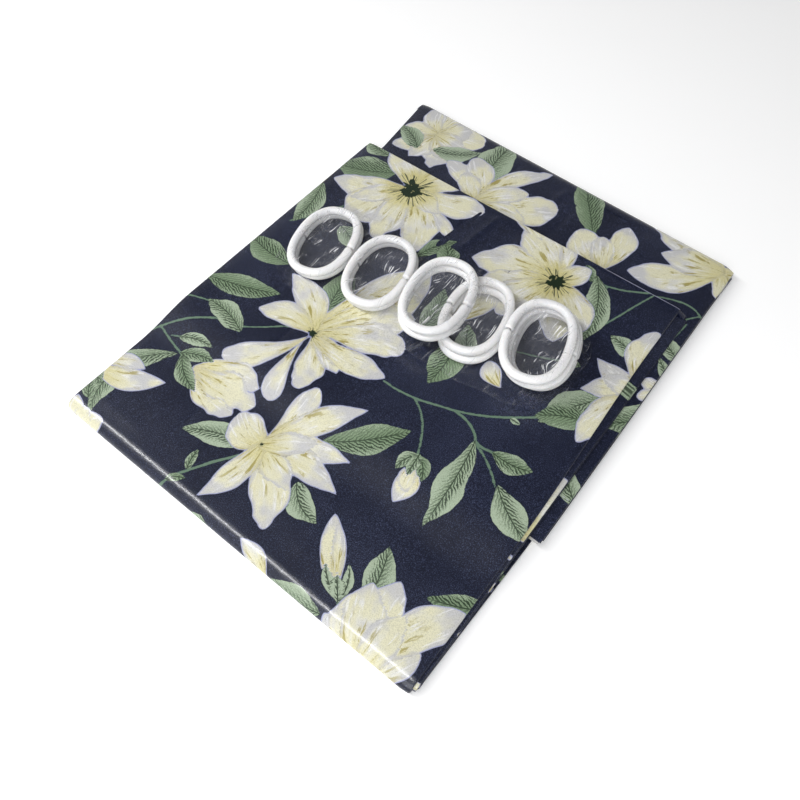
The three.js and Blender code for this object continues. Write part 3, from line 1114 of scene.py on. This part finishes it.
def petal_colour(n, blade_at, shape_at, cloudy):
    """Cream that turns yellow at its base and lilac at its edges, with strokes drawn from the base."""
    along, across, rim = blade_at
    share, _, tone = shape_at
    fan = across / (along + 5.0)
    drawn = n.noise(n.combine(fan * 9.0, along * 0.045, tone * 9.0), 1.5, 3, 0.6)
    brushed = n.noise(n.combine(across * 0.4, along * 0.045, tone * 7.0), 1.4, 2, 0.5)

    colour = n.mix(n.above(cloudy + brushed * 0.5, 0.62, 0.92), CREAM, IVORY)
    tip = n.above(share + (cloudy - 0.5) * 1.4, 0.6, 1.0)
    edge = n.below(rim - cloudy * 9.0, -3.2, -1.2)
    colour = n.mix(n.math("MAXIMUM", tip, edge) * 0.72, colour, LILAC)
    wash = n.below(share - (drawn - 0.5) * 1.3, 0.16, 0.62)
    colour = n.mix(wash * 0.7, colour, PETAL_YELLOW)
    bright = n.above(brushed, 0.6, 0.66) * n.above(share, 0.2, 0.5)
    colour = n.mix(bright * 0.55, colour, PETAL_GLEAM)
    strokes = n.above(drawn, 0.59, 0.625) * n.below(share, 0.4, 0.85)
    colour = n.mix(strokes * 0.78, colour, OCHRE)
    seam = n.below(rim, 0.15, 0.75) * n.above(cloudy, 0.38, 0.5)
    return n.mix(seam * 0.5, colour, PETAL_SEAM)


def eye_marks(n, eye_at):
    """A dark middle with uneven strokes that radiate from it: (middle, strokes, yellow wash)."""
    eye_x, eye_y, size = eye_at
    radius = n.math("SQRT", eye_x * eye_x + eye_y * eye_y)
    angle = n.math("ARCTAN2", eye_y, eye_x)
    round_x, round_y = n.math("COSINE", angle), n.math("SINE", angle)
    lumpy = n.noise(n.combine(round_x, round_y, size), 2.2, 1)
    edge = size * (0.1 + lumpy * 1.0)
    spots = n.above(n.noise(n.combine(eye_x, eye_y, size), 0.42, 1), 0.66, 0.70)
    middle = n.below(radius - edge, -0.3, 0.3) * (1.0 - spots * 0.8)
    spokes = n.noise(n.combine(round_x * 9.0, round_y * 9.0), 1.6, 1)
    length = n.noise(n.combine(round_x * 4.0, round_y * 4.0, 4.0), 1.5, 0)
    reach = size * (0.65 + length * 1.2)
    strokes = n.above(spokes, 0.55, 0.59) * n.below(radius - reach, -1.0, 0.4)
    wash = n.below(radius - size * 1.8, -9.0, 2.0)
    return middle, strokes, wash


def petals_coloured(n, blade_at, shape_at, eye_at, edge, cloudy):
    """The petals with their flower's middle and a thin outline."""
    petals = petal_colour(n, blade_at, shape_at, cloudy)
    middle, strokes, wash = eye_marks(n, eye_at)
    has_eye = n.above(eye_at[2], 0.4, 0.8)
    petals = n.mix(wash * 0.7 * has_eye, petals, PETAL_YELLOW)
    petals = n.mix(strokes * has_eye, petals, LEAF_DARK)
    petals = n.mix(middle * has_eye, petals, EYE_DARK)
    return n.mix(n.below(edge, 0.25, 0.8) * 0.8, petals, OUTLINE)


def satin_material():
    """Navy satin with the pattern printed on it: stems, then leaves, then petals."""
    n = Nodes("printed_satin")
    at = n.position()
    petal_edge, leaf_edge, stem_edge = n.attribute("print_edges")
    blade_at = n.attribute("print_blade")
    shape_at = n.attribute("print_shape")
    eye_at = n.attribute("print_eye")

    grain = n.noise(at, 1750.0, 2, 0.7)
    cloudy = n.noise(at, 60.0, 2, 0.5)
    broad = n.noise(at, 18.0, 2, 0.5)
    ragged = (n.noise(at, 380.0, 2) - 0.5) * 1.1

    # Painted glints: paler blue specks on the navy where the satin's floats would catch the light
    painted_glint_mask = n.above(grain + (broad - 0.5) * 0.2, 0.5, 0.72)
    ground = n.mix(painted_glint_mask, NAVY, PAINTED_NAVY_GLINT)
    colour = n.mix(n.inside(stem_edge + ragged), ground, STEM_GREEN)
    leaf_green = leaf_colour(n, blade_at, shape_at, grain)
    colour = n.mix(n.inside(leaf_edge + ragged), colour, leaf_green)

    edge = petal_edge + ragged * 0.35
    petals = petals_coloured(n, blade_at, shape_at, eye_at, edge, cloudy)
    colour = n.mix(n.inside(edge), colour, petals)
    colour = n.mix(n.below(grain, 0.36, 0.55) * 0.22, colour, BLACK)

    creased = n.noise(at, 90.0, 3, 0.6)
    woven = n.bump(weave_height(n, at), 0.00016, 0.5)
    return n.surface(
        Base_Color=colour,
        Roughness=0.24 + grain * 0.14,
        Specular_IOR_Level=0.45,
        Coat_Weight=0.6,
        Coat_Roughness=0.19,
        Coat_Normal=n.bump(creased, 0.0006, 0.25),
        Normal=n.bump(creased, 0.0006, 0.3, woven),
    )


def weave_height(n, at):
    """Satin weave: fine floats along the strip, broken up where a thread dips."""
    x, y, z = n.split(at)
    threads = n.math("SINE", x * (2 * math.pi / THREAD_PITCH))
    floats = n.noise(n.combine(x * 3.0, y, z), 900.0, 2, 0.6)
    return threads * 0.35 + floats


# ---------------------------------------------------------------- building the cloth


def strip_flat(layers, length):
    """Flat size of some layers of the strip: their area, as a band of the curtain's full width."""
    return CURTAIN, layers * WIDTH * length * MM * MM / CURTAIN


def declare_cloth(piece, nodes, flat, body=None):
    """Gives a piece of the cloth its material, hides the CAD parts it replaces and hangs it on its body.
    """
    piece.data.materials.append(SATIN)
    if nodes:
        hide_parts(*nodes)
    if body:
        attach(piece, body)


LAYER_FOLD_STEPS = 25
# The layers inside a fold turn a shorter way round it than the outer one, by this share on average
INSIDE_ARC = 0.6


def build_front_flap():
    """The flap's top layer and, as a second piece, the folded layers under it."""
    top = grids_object("front_flap_face", [flap_top_grid()])
    declare_cloth(top, ["front_flap"], (WIDTH * MM, DEPTH * MM), "front_flap")
    y = np.concatenate([span(HINGE_Y, 60, LAYER_STEP)[:-1], span(60, DEPTH - 3, 2.0)])
    runs = section(FLAP_LEFT, FLAP_RIGHT)
    grids = layer_grids(runs, y, flap_edges, flap_at, True, FRONT_ZONE, flap_inset)
    grids += end_loops(flap_edges, DEPTH - 1.2, 1, flap_at, FLAP_ENDS, 20)
    layers = grids_object("front_flap_layers", grids)
    declare_cloth(layers, [], strip_flat(LAYERS - 1, DEPTH), "front_flap")


def build_front_fold():
    """The cloth round the front fold, which bends between the lower pack and the flap."""
    top = grids_object("front_fold_face", [nose_top_grid()])
    arc = float(nose_arc(-math.pi / 2))
    declare_cloth(top, ["front_fold"], (WIDTH * MM, arc * MM))
    runs = section(FLAP_LEFT, FLAP_RIGHT)
    turn = half_turn(LAYER_FOLD_STEPS)
    grids = layer_grids(runs, turn, flap_edges, nose_at, True, FRONT_ZONE, nose_inset)
    layers = grids_object("front_fold_layers", grids)
    declare_cloth(layers, [], strip_flat(LAYERS - 1, arc * INSIDE_ARC))
    for piece in (top, layers):
        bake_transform(piece)


def build_back_strip():
    """The inner flap and the back fold, which are one length of cloth."""
    top = grids_object("inner_flap_face", [inner_top_grid(), back_top_grid()])
    length = BACK_LEFT_Y - HEM_END - NOSE_DEPTH + float(nose_arc(-math.pi / 2))
    nodes = ["inner_flap", "back_fold", "header_hem"]
    declare_cloth(top, nodes, (WIDTH * MM, length * MM), "folded_cloth")
    runs = section(INNER_SIDE_LEFT, INNER_SIDE_RIGHT)
    last = BACK_LEFT_Y - NOSE_DEPTH - BACK_SKEW
    y = span(HEM_END + 3, last, LAYER_STEP)
    grids = layer_grids(runs, y, inner_edges, inner_at, True, BACK_ZONE)
    grids += layer_grids(runs, half_turn(LAYER_FOLD_STEPS), back_edges, back_at, True, BACK_ZONE)
    grids += end_loops(inner_edges, HEM_END + 1.2, -1, inner_at, HEM_ENDS, 1)
    layers = grids_object("inner_flap_layers", grids)
    declare_cloth(layers, [], strip_flat(LAYERS - 1, length), "folded_cloth")


def build_bottom_leaf():
    """All the layers of the part that lies on the table."""
    runs = section(FLAP_LEFT, LEAF_RIGHT)
    y = span(HINGE_Y, BACK_LEFT_Y - NOSE_DEPTH - 4, LAYER_STEP)
    grids = layer_grids(runs, y, leaf_edges, leaf_at, False, FRONT_ZONE)
    layers = grids_object("bottom_leaf_layers", grids)
    length = BACK_LEFT_Y - 2 * NOSE_DEPTH
    declare_cloth(layers, ["bottom_leaf"], strip_flat(LAYERS, length), "folded_cloth")


# ---------------------------------------------------------------- hem stitching and eyelets


def thread_material():
    n = Nodes("hem_thread")
    at = n.position()
    twist = n.noise(at, 2200.0, 2)
    return n.surface(
        Base_Color=n.mix(twist, (0.42, 0.44, 0.52), (0.62, 0.62, 0.66)),
        Roughness=0.4 + twist * 0.2,
        Normal=n.bump(twist, 0.0001, 0.6),
    )


STITCH_PITCH = 2.6
STITCH_LENGTH = 2.1
STITCH_RADIUS = 0.22
STITCH_FLATNESS = 0.8


def build_hem_stitches():
    """A row of short stitches that holds the turned hem, along the inner flap's end."""
    y_line = HEM_END + HEM_DEPTH
    around = np.linspace(0, 2 * math.pi, 7)[None, :]
    t = np.linspace(0, 1, 6)[:, None]
    radius = STITCH_RADIUS * np.sin(np.pi * t) ** 0.5
    grids = []
    for start in np.arange(INNER_LEFT + 2, RIGHT - 2, STITCH_PITCH):
        x = start + t * STITCH_LENGTH
        z = inner_surface(np.clip(x, INNER_LEFT, RIGHT), y_line + 0 * x, 0.0)
        y = y_line + radius * np.cos(around)
        z = z + STITCH_FLATNESS * radius * np.sin(around)
        grids.append({"points": place(x + 0 * y, y, z)})
    piece = grids_object("header_hem_stitches", grids)
    piece.data.materials.append(thread_material())
    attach(piece, "folded_cloth")


def metal_material():
    n = Nodes("eyelet_metal")
    at = n.position()
    worn = n.noise(at, 700.0, 3, 0.6)
    return n.surface(
        Base_Color=n.mix(worn, (0.62, 0.61, 0.58), (0.78, 0.77, 0.74)),
        Metallic=1.0,
        Roughness=0.16 + worn * 0.14,
        Normal=n.bump(worn, 0.00005, 0.3),
    )


EYELET_BORE_SHARE = 5 / 9


def build_eyelet(node, material):
    """A riveted eyelet: a rolled flange on each face and a short barrel."""
    low, high = cad(node)
    middle = (low + high) / 2
    outer = (high.x - low.x) / 2
    inner = outer * EYELET_BORE_SHARE
    half = (high.z - low.z) / 2
    bead = (outer - inner) / 2
    turns = np.linspace(0, 2 * math.pi, 33)
    roll = np.linspace(0, 2 * math.pi, 17)
    radius = (outer + inner) / 2 + bead * np.cos(roll)
    height = half * np.sign(np.sin(roll)) * np.abs(np.sin(roll)) ** 0.6
    x = middle.x + radius[None, :] * np.cos(turns)[:, None]
    y = middle.y + radius[None, :] * np.sin(turns)[:, None]
    z = middle.z + height[None, :] + 0 * x
    piece = grids_object(node + "_rolled", [{"points": place(x, y, z)}])
    weld(piece)
    piece.data.materials.append(material)
    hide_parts(node)
    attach(piece, "folded_cloth")


def weld(piece):
    """Joins a closed grid's first and last rows and columns, and turns its faces outwards."""
    mesh = bmesh.new()
    mesh.from_mesh(piece.data)
    bmesh.ops.remove_doubles(mesh, verts=mesh.verts, dist=0.00001)
    bmesh.ops.recalc_face_normals(mesh, faces=mesh.faces)
    mesh.to_mesh(piece.data)
    mesh.free()


# ---------------------------------------------------------------- rings

RING_ROUNDNESS = 2.35
RING_BAR = 5.8
RING_GAP = 1.0
# The snap is the side of the ring with more CAD corners inside this reach
SNAP_REACH = 4
RING_PARTS = [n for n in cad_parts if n.startswith("ring_")]


def flat_points(node):
    """A CAD node's corners seen from above, in pack millimetres."""
    points = np.array([v.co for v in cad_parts[node].data.vertices]) / MM - np.array(CORNER) / MM
    return points[:, :2]


def longest_way(flat):
    """The direction in which points seen from above spread the most."""
    return np.linalg.eigh(flat.T @ flat)[1][:, 1]


def ring_pose(node):
    """A ring's centre, the way from there to its snap, and its half width and half length."""
    low, high = cad(node)
    centre = np.array(low + high) / 2
    flat = flat_points(node) - centre[:2]
    long_way = longest_way(flat)
    short_way = np.array([long_way[1], -long_way[0]])
    half_length = np.abs(flat @ long_way).max()
    half_width = np.abs(flat @ short_way).max()

    def corners_at(way):
        return np.sum(np.hypot(*(flat - (half_width - RING_BAR / 2) * way).T) < SNAP_REACH)

    if corners_at(-short_way) > corners_at(short_way):
        short_way = -short_way
    return centre, short_way, half_width, half_length


def ring_long_way(short_way):
    """The ring's long direction, a quarter turn from its short one."""
    return np.array([-short_way[1], short_way[0]])


def ring_line(t, half_width, half_length):
    """Points on a ring's centre line, from one end of the snap round to the other, t from 0 to 1."""
    start = (RING_GAP / 2) / half_length
    angle = start + t * (2 * math.pi - 2 * start)

    def rounded_out(wave):
        return np.sign(wave) * np.abs(wave) ** (2 / RING_ROUNDNESS)

    return half_width * rounded_out(np.cos(angle)), half_length * rounded_out(np.sin(angle))


def ring_shares():
    """Steps round the ring: close together at the snap, even elsewhere."""
    near = np.array([0.0, 0.0012, 0.0035, 0.008, 0.016])
    middle = np.linspace(0.025, 0.975, 104)
    return np.concatenate([near, middle, 1 - near[::-1]])


def plastic_material():
    n = Nodes("white_plastic")
    at = n.position()
    mottled = n.noise(at, 90.0, 3, 0.55)
    fine = n.noise(at, 1100.0, 2, 0.5)
    colour = n.mix(n.above(mottled, 0.35, 0.75), (0.90, 0.895, 0.90), (0.93, 0.925, 0.92))
    return n.surface(
        Base_Color=colour,
        Roughness=0.24 + fine * 0.06,
        Subsurface_Weight=0.2,
        Subsurface_Radius=(0.004, 0.0035, 0.003),
        Coat_Weight=0.25,
        Coat_Roughness=0.12,
        Normal=n.bump(mottled, 0.0004, 0.12),
    )


AROUND_BAR = np.linspace(0, 2 * math.pi, 21)
# The bar narrows towards its two end faces, and carries a faint moulding seam inside and outside
END_FACE = 0.72
BEVEL = (END_FACE, 0.93, 1.0)
SEAM_HEIGHT = 0.018
SEAM_WIDTH = 0.12
PIN_RADIUS = 1.0
PIN_LENGTH = 2.6
SOCKET_RADIUS = 1.3
SOCKET_DEPTH = 3.0
CLOSED = 0.01


def bar_surface(line_x, line_y):
    """The ring's rounded bar, along its own centre line."""
    along_x, along_y = np.gradient(line_x), np.gradient(line_y)
    size = np.hypot(along_x, along_y)
    out_x, out_y = along_y / size, -along_x / size
    bevel = np.ones(len(line_x))
    bevel[:3] = BEVEL
    bevel[-3:] = BEVEL[::-1]
    outside = np.minimum(AROUND_BAR, 2 * math.pi - AROUND_BAR)
    inside = AROUND_BAR - math.pi
    seam = 1 + sum(SEAM_HEIGHT * np.exp(-((off / SEAM_WIDTH) ** 2)) for off in (outside, inside))
    radius = RING_BAR / 2 * bevel[:, None] * seam[None, :]
    across = radius * np.cos(AROUND_BAR)
    x = line_x[:, None] + out_x[:, None] * across
    y = line_y[:, None] + out_y[:, None] * across
    return x, y, radius * np.sin(AROUND_BAR)


def plug(x, y, steps):
    """Circles of (reach, radius) that carry on from an end face, as a pin or a socket does."""
    reach, radius = np.array(steps).T[:, :, None]
    return x + radius * np.cos(AROUND_BAR), y - reach + 0 * AROUND_BAR, radius * np.sin(AROUND_BAR)


def build_ring(node, material):
    """A ring's bar, the pin at one of its ends and the socket at the other."""
    centre, short_way, half_width, half_length = ring_pose(node)
    long_way = ring_long_way(short_way)
    bar = RING_BAR / 2
    line_x, line_y = ring_line(ring_shares(), half_width - bar, half_length - bar)
    pin = [(0, bar * END_FACE), (0, PIN_RADIUS), (PIN_LENGTH - 0.3, PIN_RADIUS),
           (PIN_LENGTH, PIN_RADIUS * 0.7), (PIN_LENGTH, CLOSED)]
    socket = [(0, bar * END_FACE), (0, SOCKET_RADIUS), (SOCKET_DEPTH, SOCKET_RADIUS),
              (SOCKET_DEPTH, CLOSED)]
    shapes = [bar_surface(line_x, line_y), plug(line_x[0], line_y[0], pin),
              plug(line_x[-1], line_y[-1], socket)]
    grids = []
    for a, b, up in shapes:
        x = centre[0] + a * short_way[0] + b * long_way[0]
        y = centre[1] + a * short_way[1] + b * long_way[1]
        grids.append({"points": place(x, y, centre[2] + up)})
    piece = grids_object(node + "_moulded", grids)
    weld(piece)
    piece.data.materials.append(material)
    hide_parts(node)
    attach(piece, "sachet")


# ---------------------------------------------------------------- the sachet

FILM_STEP = 1.1
FILM_GAP = 0.12
FILM_SAG = 0.004
LEAST_POCKET = 0.25
CRINKLES = 150
CRINKLE_HEIGHT = 0.45
RNG = np.random.default_rng(11)


def film_frame():
    """The sachet's centre, its long and short directions, and its half length and half width."""
    points = flat_points("sachet_back_film")
    centre = (points.min(0) + points.max(0)) / 2
    flat = points - centre
    long_way = longest_way(flat)
    long_way = long_way * np.sign(long_way[0])
    wide_way = np.array([-long_way[1], long_way[0]])
    return centre, long_way, wide_way, np.abs(flat @ long_way).max(), np.abs(flat @ wide_way).max()


def film_grid():
    """Sachet points seen from above, with rounded corners and a slightly wavy outline."""
    centre, long_way, wide_way, half_length, half_width = film_frame()
    columns = int(2 * half_length / FILM_STEP)
    rows = int(2 * half_width / FILM_STEP)
    s = np.linspace(-1, 1, columns)[None, :]
    t = np.linspace(-1, 1, rows)[:, None]
    # Each edge waves a little, and the four corners are rounded off
    wavy_t = 1 - 0.02 * (1 + np.sin(s * 9 + 1.0)) - 0.015 * (1 + np.sin(s * 23))
    wavy_s = 1 - 0.012 * (1 + np.sin(t * 6 + 2.0))
    a = s * half_length * wavy_s * (1 - 0.05 * np.abs(t) ** 8)
    b = t * half_width * wavy_t * (1 - 0.28 * np.abs(s) ** 10)
    x = centre[0] + a * long_way[0] + b * wide_way[0]
    y = centre[1] + a * long_way[1] + b * wide_way[1]
    return x, y, s + 0 * t, t + 0 * s


def ring_tops(x, y):
    """Height of the highest ring over each point, far below where there is none, and 1 inside an eye."""
    tops = np.full(x.shape, -1000.0)
    eyes = np.zeros(x.shape)
    t = np.linspace(0, 1, 160)
    for node in RING_PARTS:
        centre, short_way, half_width, half_length = ring_pose(node)
        bar = RING_BAR / 2
        a, b = ring_line(t, half_width - bar, half_length - bar)
        long_way = ring_long_way(short_way)
        line = centre[:2] + a[:, None] * short_way + b[:, None] * long_way
        near = np.full(x.shape, 1e9)
        for point in line:
            near = np.minimum(near, (x - point[0]) ** 2 + (y - point[1]) ** 2)
        height = centre[2] + np.sqrt(np.clip(bar * bar - near, 0, None))
        tops = np.where(near < (bar * 0.98) ** 2, np.maximum(tops, height), tops)
        off = np.stack([x - centre[0], y - centre[1]], -1)
        wide, long = np.abs(off @ short_way), np.abs(off @ long_way)
        wide, long = wide / (half_width - bar), long / (half_length - bar)
        inside = wide ** RING_ROUNDNESS + long ** RING_ROUNDNESS
        eyes = np.maximum(eyes, smooth((0.95 - inside) * 6))
    return tops, eyes


def stretched_over(tops, floor, sag):
    """A film pulled down over the rings: it lies on their tops and runs straight between them."""
    film = np.where(tops > 0, tops, floor)
    for _ in range(500):
        mean = (film[:-2, 1:-1] + film[2:, 1:-1] + film[1:-1, :-2] + film[1:-1, 2:]) / 4
        film[1:-1, 1:-1] = np.maximum(mean - sag, tops[1:-1, 1:-1])
        film[1:-1, 1:-1] = np.maximum(film[1:-1, 1:-1], floor)
    return film


def crinkles(x, y, count, height):
    """Random sharp little folds, as stiff clear film has."""
    relief = np.zeros(x.shape)
    for _ in range(count):
        at = np.array([RNG.uniform(x.min(), x.max()), RNG.uniform(y.min(), y.max())])
        angle = RNG.uniform(0, math.pi)
        way = np.array([math.cos(angle), math.sin(angle)])
        length, width = RNG.uniform(5, 22), RNG.uniform(0.7, 1.6)
        along = (x - at[0]) * way[0] + (y - at[1]) * way[1]
        off = -(x - at[0]) * way[1] + (y - at[1]) * way[0] + 0.02 * along ** 2 * RNG.uniform(-1, 1)
        relief += RNG.uniform(0.3, 1) * np.exp(-np.abs(off) / width) * np.exp(-((along / length) ** 2))
    return relief * height


def film_material():
    """Clear film, which shows mostly by painted glints in lines and along its folds, and by a painted
    grey reflection inside the rings' eyes.
    """
    n = Nodes("clear_film")
    at = n.position()
    eye, border, _ = n.attribute("film")
    x, y, _ = n.split(at)
    across = x + n.noise(at, 30.0, 2) * 0.02
    lines = n.noise(n.combine(across * 1100.0, y * 40.0), 1.0, 2, 0.6)
    patches = n.noise(at, 75.0, 2)
    # Painted glints: bright straight streaks, where light would catch fine creases in the film
    painted_line_glints = n.above(lines, 0.575, 0.63) * n.above(patches, 0.43, 0.55)
    folds = n.noise(at, 150.0, 4, 0.65, 1.5)
    # Painted glints along the ridges of the fold noise
    ridge = n.below(n.math("ABSOLUTE", folds - 0.5), 0.004, 0.018)
    ridge = ridge * n.above(patches, 0.46, 0.56)
    glints = n.math("MAXIMUM", painted_line_glints, ridge * 0.45)
    seen = 0.15 + eye * 0.85
    # The film's faint tint, a painted grey reflection of crinkled film inside the rings' eyes, and a
    # faint painted glint along its rim
    tint_and_painted_reflection = 0.004 + eye * (0.03 + folds * 0.14)
    tint_and_painted_reflection = tint_and_painted_reflection + border * 0.03
    return n.surface(
        # Grey for the painted reflection, near white for the painted glints
        Base_Color=n.mix(glints, (0.40, 0.41, 0.45), (0.95, 0.95, 0.97)),
        Alpha=tint_and_painted_reflection + glints * seen * 0.7,
        Roughness=0.12,
        Specular_IOR_Level=1.0,
        Normal=n.bump(folds, 0.0012, 0.5),
    )


def build_sachet():
    """The film draped over the rings, and the flat film under them."""
    material = film_material()
    x, y, s, t = film_grid()
    half_length, half_width = film_frame()[3:]
    floor = cad("sachet_back_film")[0].z
    border = smooth((1 - np.abs(s)) * 30) * smooth((1 - np.abs(t)) * 12)
    tops, eyes = ring_tops(x, y)
    film = stretched_over(tops + FILM_GAP, floor + LEAST_POCKET, FILM_SAG)
    film += crinkles(x, y, CRINKLES, CRINKLE_HEIGHT) * border
    # rim marks the film's edge, where the material paints a faint glint
    rim = 1 - smooth((np.minimum(1 - np.abs(s), (1 - np.abs(t)) * half_width / half_length)) * 150)
    look = {"film": np.stack([eyes, rim, 0 * s], -1)}
    plain_look = {"film": np.stack([0 * s, rim, 0 * s], -1)}
    front = grids_object("sachet_front_face", [{"points": place(x, y, film), "fields": look}])
    back_height = floor + 0.06 + 0.1 * (1 - border) * (1 + np.sin(s * 40) * np.sin(t * 17))
    back = grids_object("sachet_back_face", [{"points": place(x, y, back_height), "fields": plain_look}])
    for piece, node in ((front, "sachet_front_film"), (back, "sachet_back_film")):
        piece.data.materials.append(material)
        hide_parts(node)
        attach(piece, "sachet")
        flat = (2 * half_length * MM, 2 * half_width * MM)


# ---------------------------------------------------------------- stage, lights and camera


def floor_material():
    n = Nodes("pale_floor")
    at = n.position()
    tone = n.noise(at, 6.0, 2)
    return n.surface(
        Base_Color=n.mix(tone, (0.93, 0.93, 0.93), (0.95, 0.95, 0.95)),
        Roughness=0.7,
        Emission_Color=(1, 1, 1, 1),
        Emission_Strength=0.22,
    )


def studio_world():
    """Pale walls that fade to a dim ceiling, so that the satin stays deep in colour from above."""
    world = bpy.data.worlds.new("studio")
    world.use_nodes = True
    tree = world.node_tree
    direction = tree.nodes.new("ShaderNodeTexCoord")
    parts = tree.nodes.new("ShaderNodeSeparateXYZ")
    fade = tree.nodes.new("ShaderNodeMapRange")
    fade.interpolation_type = "SMOOTHSTEP"
    for name, value in (("From Min", 0.15), ("From Max", 0.75), ("To Min", 0.65), ("To Max", 0.05)):
        fade.inputs[name].default_value = value
    tree.links.new(direction.outputs["Generated"], parts.inputs[0])
    tree.links.new(parts.outputs[2], fade.inputs["Value"])
    tree.links.new(fade.outputs["Result"], tree.nodes["Background"].inputs["Strength"])
    tree.nodes["Background"].inputs["Color"].default_value = (1, 1, 1, 1)
    return world


def build_stage():
    bpy.ops.mesh.primitive_plane_add(size=8, location=(0, 0, -0.0004))
    floor = bpy.context.object
    floor.name = "floor"
    floor.data.materials.append(floor_material())
    bpy.context.scene.world = studio_world()


def area_light(name, at, target, size, watts, colour=(1, 1, 1)):
    """A rectangular soft light that faces its target, with its long side along X."""
    data = bpy.data.lights.new(name, "AREA")
    data.shape = "RECTANGLE"
    data.size, data.size_y = size
    data.energy = watts
    data.color = colour
    light = bpy.data.objects.new(name, data)
    light.location = at
    back = (Vector(at) - Vector(target)).normalized()
    up = back.cross(Vector((1, 0, 0))).normalized()
    light.rotation_euler = Matrix((up.cross(back), up, back)).transposed().to_euler()
    bpy.context.scene.collection.objects.link(light)


def build_lights():
    centre = (0, 0, 0)
    area_light("strip", (-0.46, -0.42, 1.00), centre, (1.4, 0.05), 12)
    area_light("window", (0.55, -1.25, 1.05), centre, (1.0, 0.8), 11, (0.97, 0.98, 1.0))
    area_light("glow", (-0.02, 0.30, 1.30), centre, (1.0, 0.8), 0.3)


# Fitted to the pack's four corners: two places in pack millimetres, millimetres and degrees
CAMERA_AT = (301.7, -44.2, 386.0)
CAMERA_TARGET = (162.3, 127.4, HIGH_TOP)
CAMERA_SENSOR = 36.0
CAMERA_LENS = 32.13
CAMERA_ROLL = -0.79


def build_camera():
    """The camera stands in front of the pack's right end and looks steeply down on it."""
    at = Vector(CAMERA_AT) * MM + CORNER
    look_at = Vector(CAMERA_TARGET) * MM + CORNER
    data = bpy.data.cameras.new("camera")
    data.sensor_width = CAMERA_SENSOR
    data.lens = CAMERA_LENS
    camera = bpy.data.objects.new("camera", data)
    camera.location = at
    camera.rotation_mode = "QUATERNION"
    roll = Quaternion((0, 0, 1), math.radians(CAMERA_ROLL))
    camera.rotation_quaternion = (look_at - at).to_track_quat("-Z", "Y") @ roll
    bpy.context.scene.collection.objects.link(camera)
    bpy.context.scene.camera = camera


SATIN = satin_material()
build_camera()
build_front_flap()
build_front_fold()
build_back_strip()
build_bottom_leaf()
build_hem_stitches()
METAL = metal_material()
for eyelet in sorted(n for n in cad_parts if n.startswith("eyelet_")):
    build_eyelet(eyelet, METAL)
PLASTIC = plastic_material()
for ring in RING_PARTS:
    build_ring(ring, PLASTIC)
build_sachet()
build_stage()
build_lights()
bpy.context.scene.view_settings.view_transform = "Standard"
